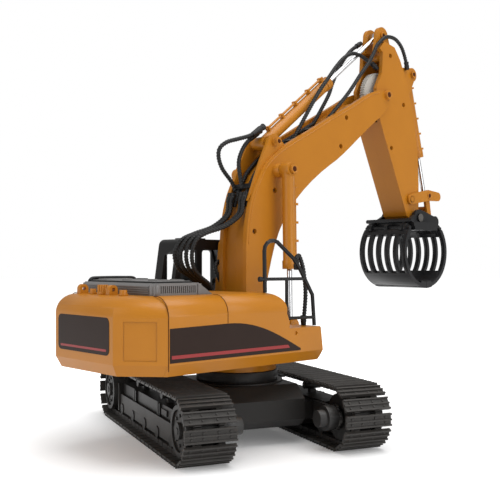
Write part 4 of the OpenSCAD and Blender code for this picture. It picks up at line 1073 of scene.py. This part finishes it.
# %% Hinges at the lid's front
HINGE_Y, HINGE_LEAF, HINGE_BARREL, HINGE_R = 22.0, 5, 6.5, 1.3
build = bmesh.new()
for y in (-HINGE_Y, HINGE_Y):
    leaf = rounded(lid_x1 - 1, y - HINGE_LEAF, lid_x1 + 4, y + HINGE_LEAF, 1)
    prism(build, leaf, (hood_top - 0.1, hood_top + 2.4), at)
    barrel = [Vector((lid_x1 + 1.5, y + end, hood_top + 2.2)) for end in (-HINGE_BARREL, HINGE_BARREL)]
    sweep(build, barrel, plain(HINGE_R))
soften(shown("hood_hinges", build, "cab_black", "upper"), 0.3)

# %% Rail along the left edge
RAIL_UP, RAIL_R = 2.6, 1.4
rail_y, rail_z = hood_y - 4.5, hood_top + RAIL_UP
rail = [
    (hood_x0 + 5, rail_y, hood_top - 0.2), (hood_x0 + 7, rail_y, rail_z - 0.6),
    (hood_x0 + 12, rail_y, rail_z), (hood_x1 - 18, rail_y, rail_z),
    (hood_x1 - 7, rail_y, rail_z - 1), (hood_x1 - 4, rail_y, hood_top - 5.5),
]
build = bmesh.new()
sweep(build, even(smooth(rail, 6), 1.5), plain(RAIL_R))
shown("hood_lid_rail", build, "cab_black", "upper").data.shade_smooth()

# %% Slats across the hood's rear face, and the rim over them
SLATS, SLAT_UP, SLAT_PITCH, SLAT_HIGH = 4, 1.3, 1.55, 0.7
SLAT_DEPTH = (-0.55, 0.05)
RIM_X, RIM_THICK = hood_x0 + 2.2, 0.8
slat_y = hood_y - 6
build = bmesh.new()
for k in range(SLATS):
    z = body_top + SLAT_UP + k * SLAT_PITCH
    outline = [(-slat_y, z), (slat_y, z), (slat_y, z + SLAT_HIGH), (-slat_y, z + SLAT_HIGH)]
    prism(build, outline, SLAT_DEPTH, lambda u, v, w: at(hood_x0 - w, u, v))
sweep(build, [Vector((RIM_X, y, hood_top - 0.1)) for y in (5 - hood_y, hood_y - 5)], plain(RIM_THICK))
soften(shown("hood_rear_slats", build, "hood_grey", "upper"), 0.15)

# %% [markdown]
# ## Inside the cab
# A rubber lip lines each window opening. Behind them sit two control sticks with round knobs, two
# pedals and a small screen. They are thin pieces, so each is swept or drawn as its own outline.

# %% Window seals
CAB_REAR, CAB_FRONT, CAB_HIGH = -38, 40, 71
LIP = 0.9
LIP_DEPTH = (-0.02, 0.55)
LIP_CORNER = 3.0
cab_y0, cab_y1 = edge("cab_frame", 0, 1), edge("cab_frame", 1, 1)
step_z = edge("cab_base", 1, 2)
window_top = step_z + CAB_HIGH - 9


def window_seal(build, u0, v0, u1, v1, place):
    """A thin rubber lip that lines a window opening, standing a little proud of the wall."""
    outer = rounded(u0 - LIP, v0 - LIP, u1 + LIP, v1 + LIP, LIP_CORNER + LIP)
    frame_ring(build, outer, rounded(u0, v0, u1, v1, LIP_CORNER), LIP_DEPTH, place)


build = bmesh.new()
for y, side, rear_pillar in ((cab_y0, -1, 7), (cab_y1, 1, 13)):
    def wall_place(u, v, w):
        return at(u, y + side * w, v)
    window_seal(build, CAB_REAR + rear_pillar, step_z + 34, CAB_REAR + 24, window_top, wall_place)
    window_seal(build, CAB_REAR + 30, step_z + 12, CAB_FRONT - 14, window_top, wall_place)
seals = shown("window_seals", build, "hose_rubber", "upper")
print("window seals", len(seals.data.polygons), "faces")

# %% Control sticks with their knobs, and the pedals
LEVER_Y, LEVER_R = 9, 0.7
KNOB_NECK, KNOB_SWELL, KNOB_LONG = 0.5, 1.5, 6.3
PEDAL_Y, PEDAL_HALF, PEDAL_SLOPE = 3.4, 2.4, 0.45
mid = (cab_y0 + cab_y1) / 2


def knob_radius(travelled, turn):
    share = min(max(travelled / KNOB_LONG, 0.02), 0.98)
    return KNOB_NECK + KNOB_SWELL * math.sin(math.pi * share) ** 0.5


build = bmesh.new()
for y in (mid - LEVER_Y, mid + LEVER_Y):
    lever = [(7, y, step_z + 21.5), (7.6, y, step_z + 27), (9.2, y, step_z + 32)]
    sweep(build, even(smooth(lever, 6), 0.8), plain(LEVER_R))
    low, high = Vector((9.2, y, step_z + 31)), Vector((11, y, step_z + 37))
    sweep(build, [low.lerp(high, k / 8) for k in range(9)], knob_radius)
for y in (mid - PEDAL_Y, mid + PEDAL_Y):
    prism(build, rounded(20, y - PEDAL_HALF, 29, y + PEDAL_HALF, 1), (0.0, 1.0),
        lambda u, v, w: at(u, v, step_z + w + PEDAL_SLOPE * (u - 19)))
shown("cab_levers", build, "cab_black", "upper").data.shade_flat()

# %% The screen on its stalk
SCREEN_X = 26
STALK_R = 0.8
build = bmesh.new()
outline = rounded(cab_y0 + 6, step_z + 26, cab_y0 + 16, step_z + 34, 1)
prism(build, outline, (0.0, 1.6), lambda u, v, w: at(SCREEN_X + w, u, v))
stalk = [Vector((27, cab_y0 + 11, step_z + 26.5)), Vector((29, cab_y0 + 11, step_z))]
sweep(build, stalk, plain(STALK_R))
shown("cab_screen", build, "cab_black", "upper")
print("cab middle", round(mid, 1))

# %% [markdown]
# ## Floor and light
# A white paper floor and three soft boxes: one broad light overhead, a fill from the left and a
# stronger one from the right, with a plain bright room all round, so that the plastic reads in
# its own colour.

# %% Floor
FLOOR_HALF = 6.0
PAPER = 0.86
# GLOW_NEAR is the weaker glow close to the model, which paints shade on the floor round it
GLOW_NEAR, GLOW_FAR = 0.12, 0.75
GLOW_FROM, GLOW_TO = 0.07, 0.33
floor_mesh = bpy.data.meshes.new("floor")
corners = [(x * FLOOR_HALF, y * FLOOR_HALF, 0) for x, y in ((-1, -1), (1, -1), (1, 1), (-1, 1))]
floor_mesh.from_pydata(corners, [], [(0, 1, 2, 3)])
floor = bpy.data.objects.new("floor", floor_mesh)
bpy.context.scene.collection.objects.link(floor)
paper = bpy.data.materials.new("paper")
paper.use_nodes = True
tree = paper.node_tree
shader = tree.nodes["Principled BSDF"]
shader.inputs["Base Color"].default_value = (PAPER, PAPER, PAPER, 1)
shader.inputs["Roughness"].default_value = 0.8
shader.inputs["Emission Color"].default_value = (1, 1, 1, 1)
seen = tree.nodes.new("ShaderNodeLightPath")
either = add_math(tree, "MAXIMUM")
# The paper glows less close to the tracks, so that the shadow between them stays; the weaker glow there
# also paints the floor darker round the model, a painted shade added to its real shadow
where = tree.nodes.new("ShaderNodeNewGeometry")
from_axis = tree.nodes.new("ShaderNodeVectorMath")
from_axis.operation = "DISTANCE"
from_axis.inputs[1].default_value = at(0, 0, 0)
fade = tree.nodes.new("ShaderNodeMapRange")
fade.interpolation_type = "SMOOTHSTEP"
fade.inputs["From Min"].default_value = GLOW_FROM
fade.inputs["From Max"].default_value = GLOW_TO
fade.inputs["To Min"].default_value = GLOW_NEAR
fade.inputs["To Max"].default_value = GLOW_FAR
glow = add_math(tree, "MULTIPLY")
tree.links.new(seen.outputs["Is Camera Ray"], either.inputs[0])
tree.links.new(seen.outputs["Is Glossy Ray"], either.inputs[1])
tree.links.new(where.outputs["Position"], from_axis.inputs[0])
tree.links.new(from_axis.outputs["Value"], fade.inputs["Value"])
tree.links.new(either.outputs[0], glow.inputs[0])
tree.links.new(fade.outputs["Result"], glow.inputs[1])
tree.links.new(glow.outputs[0], shader.inputs["Emission Strength"])
floor_mesh.materials.append(paper)

# %% The room: dimmer as a light than as a backdrop
ROOM_LIGHT, BACKDROP = 0.42, 1.0
world = bpy.data.worlds.new("studio")
bpy.context.scene.world = world
world.use_nodes = True
tree = world.node_tree
back = tree.nodes["Background"]
back.inputs["Color"].default_value = (1, 1, 1, 1)
paths = tree.nodes.new("ShaderNodeLightPath")
level = tree.nodes.new("ShaderNodeMapRange")
level.inputs["To Min"].default_value = ROOM_LIGHT
level.inputs["To Max"].default_value = BACKDROP
shows = add_math(tree, "MAXIMUM")
tree.links.new(paths.outputs["Is Camera Ray"], shows.inputs[0])
tree.links.new(paths.outputs["Is Transmission Ray"], shows.inputs[1])
tree.links.new(shows.outputs[0], level.inputs["Value"])
tree.links.new(level.outputs["Result"], back.inputs["Strength"])

# %% The soft boxes


def soft_box(name, place, look_at, size, power):
    """A square area light. Its size is in metres and its power in watts."""
    data = bpy.data.lights.new(name, "AREA")
    data.shape = "RECTANGLE"
    data.size = data.size_y = size
    data.energy = power
    lamp = bpy.data.objects.new(name, data)
    bpy.context.scene.collection.objects.link(lamp)
    lamp.location = place
    lamp.rotation_euler = (Vector(look_at) - Vector(place)).to_track_quat("-Z", "Y").to_euler()


centre = at(60, 0, 150)
soft_box("overhead", at(100, -300, 1500), centre, 1.3, 16)
soft_box("left fill", at(-1300, 100, 600), centre, 1.0, 4.5)
soft_box("right key", at(200, -1400, 700), centre, 1.0, 8)
bpy.context.scene.view_settings.view_transform = "Standard"

# %% [markdown]
# ## Last step
# The view layer is brought up to date.

# %% Bring the view layer up to date
bpy.context.view_layer.update()
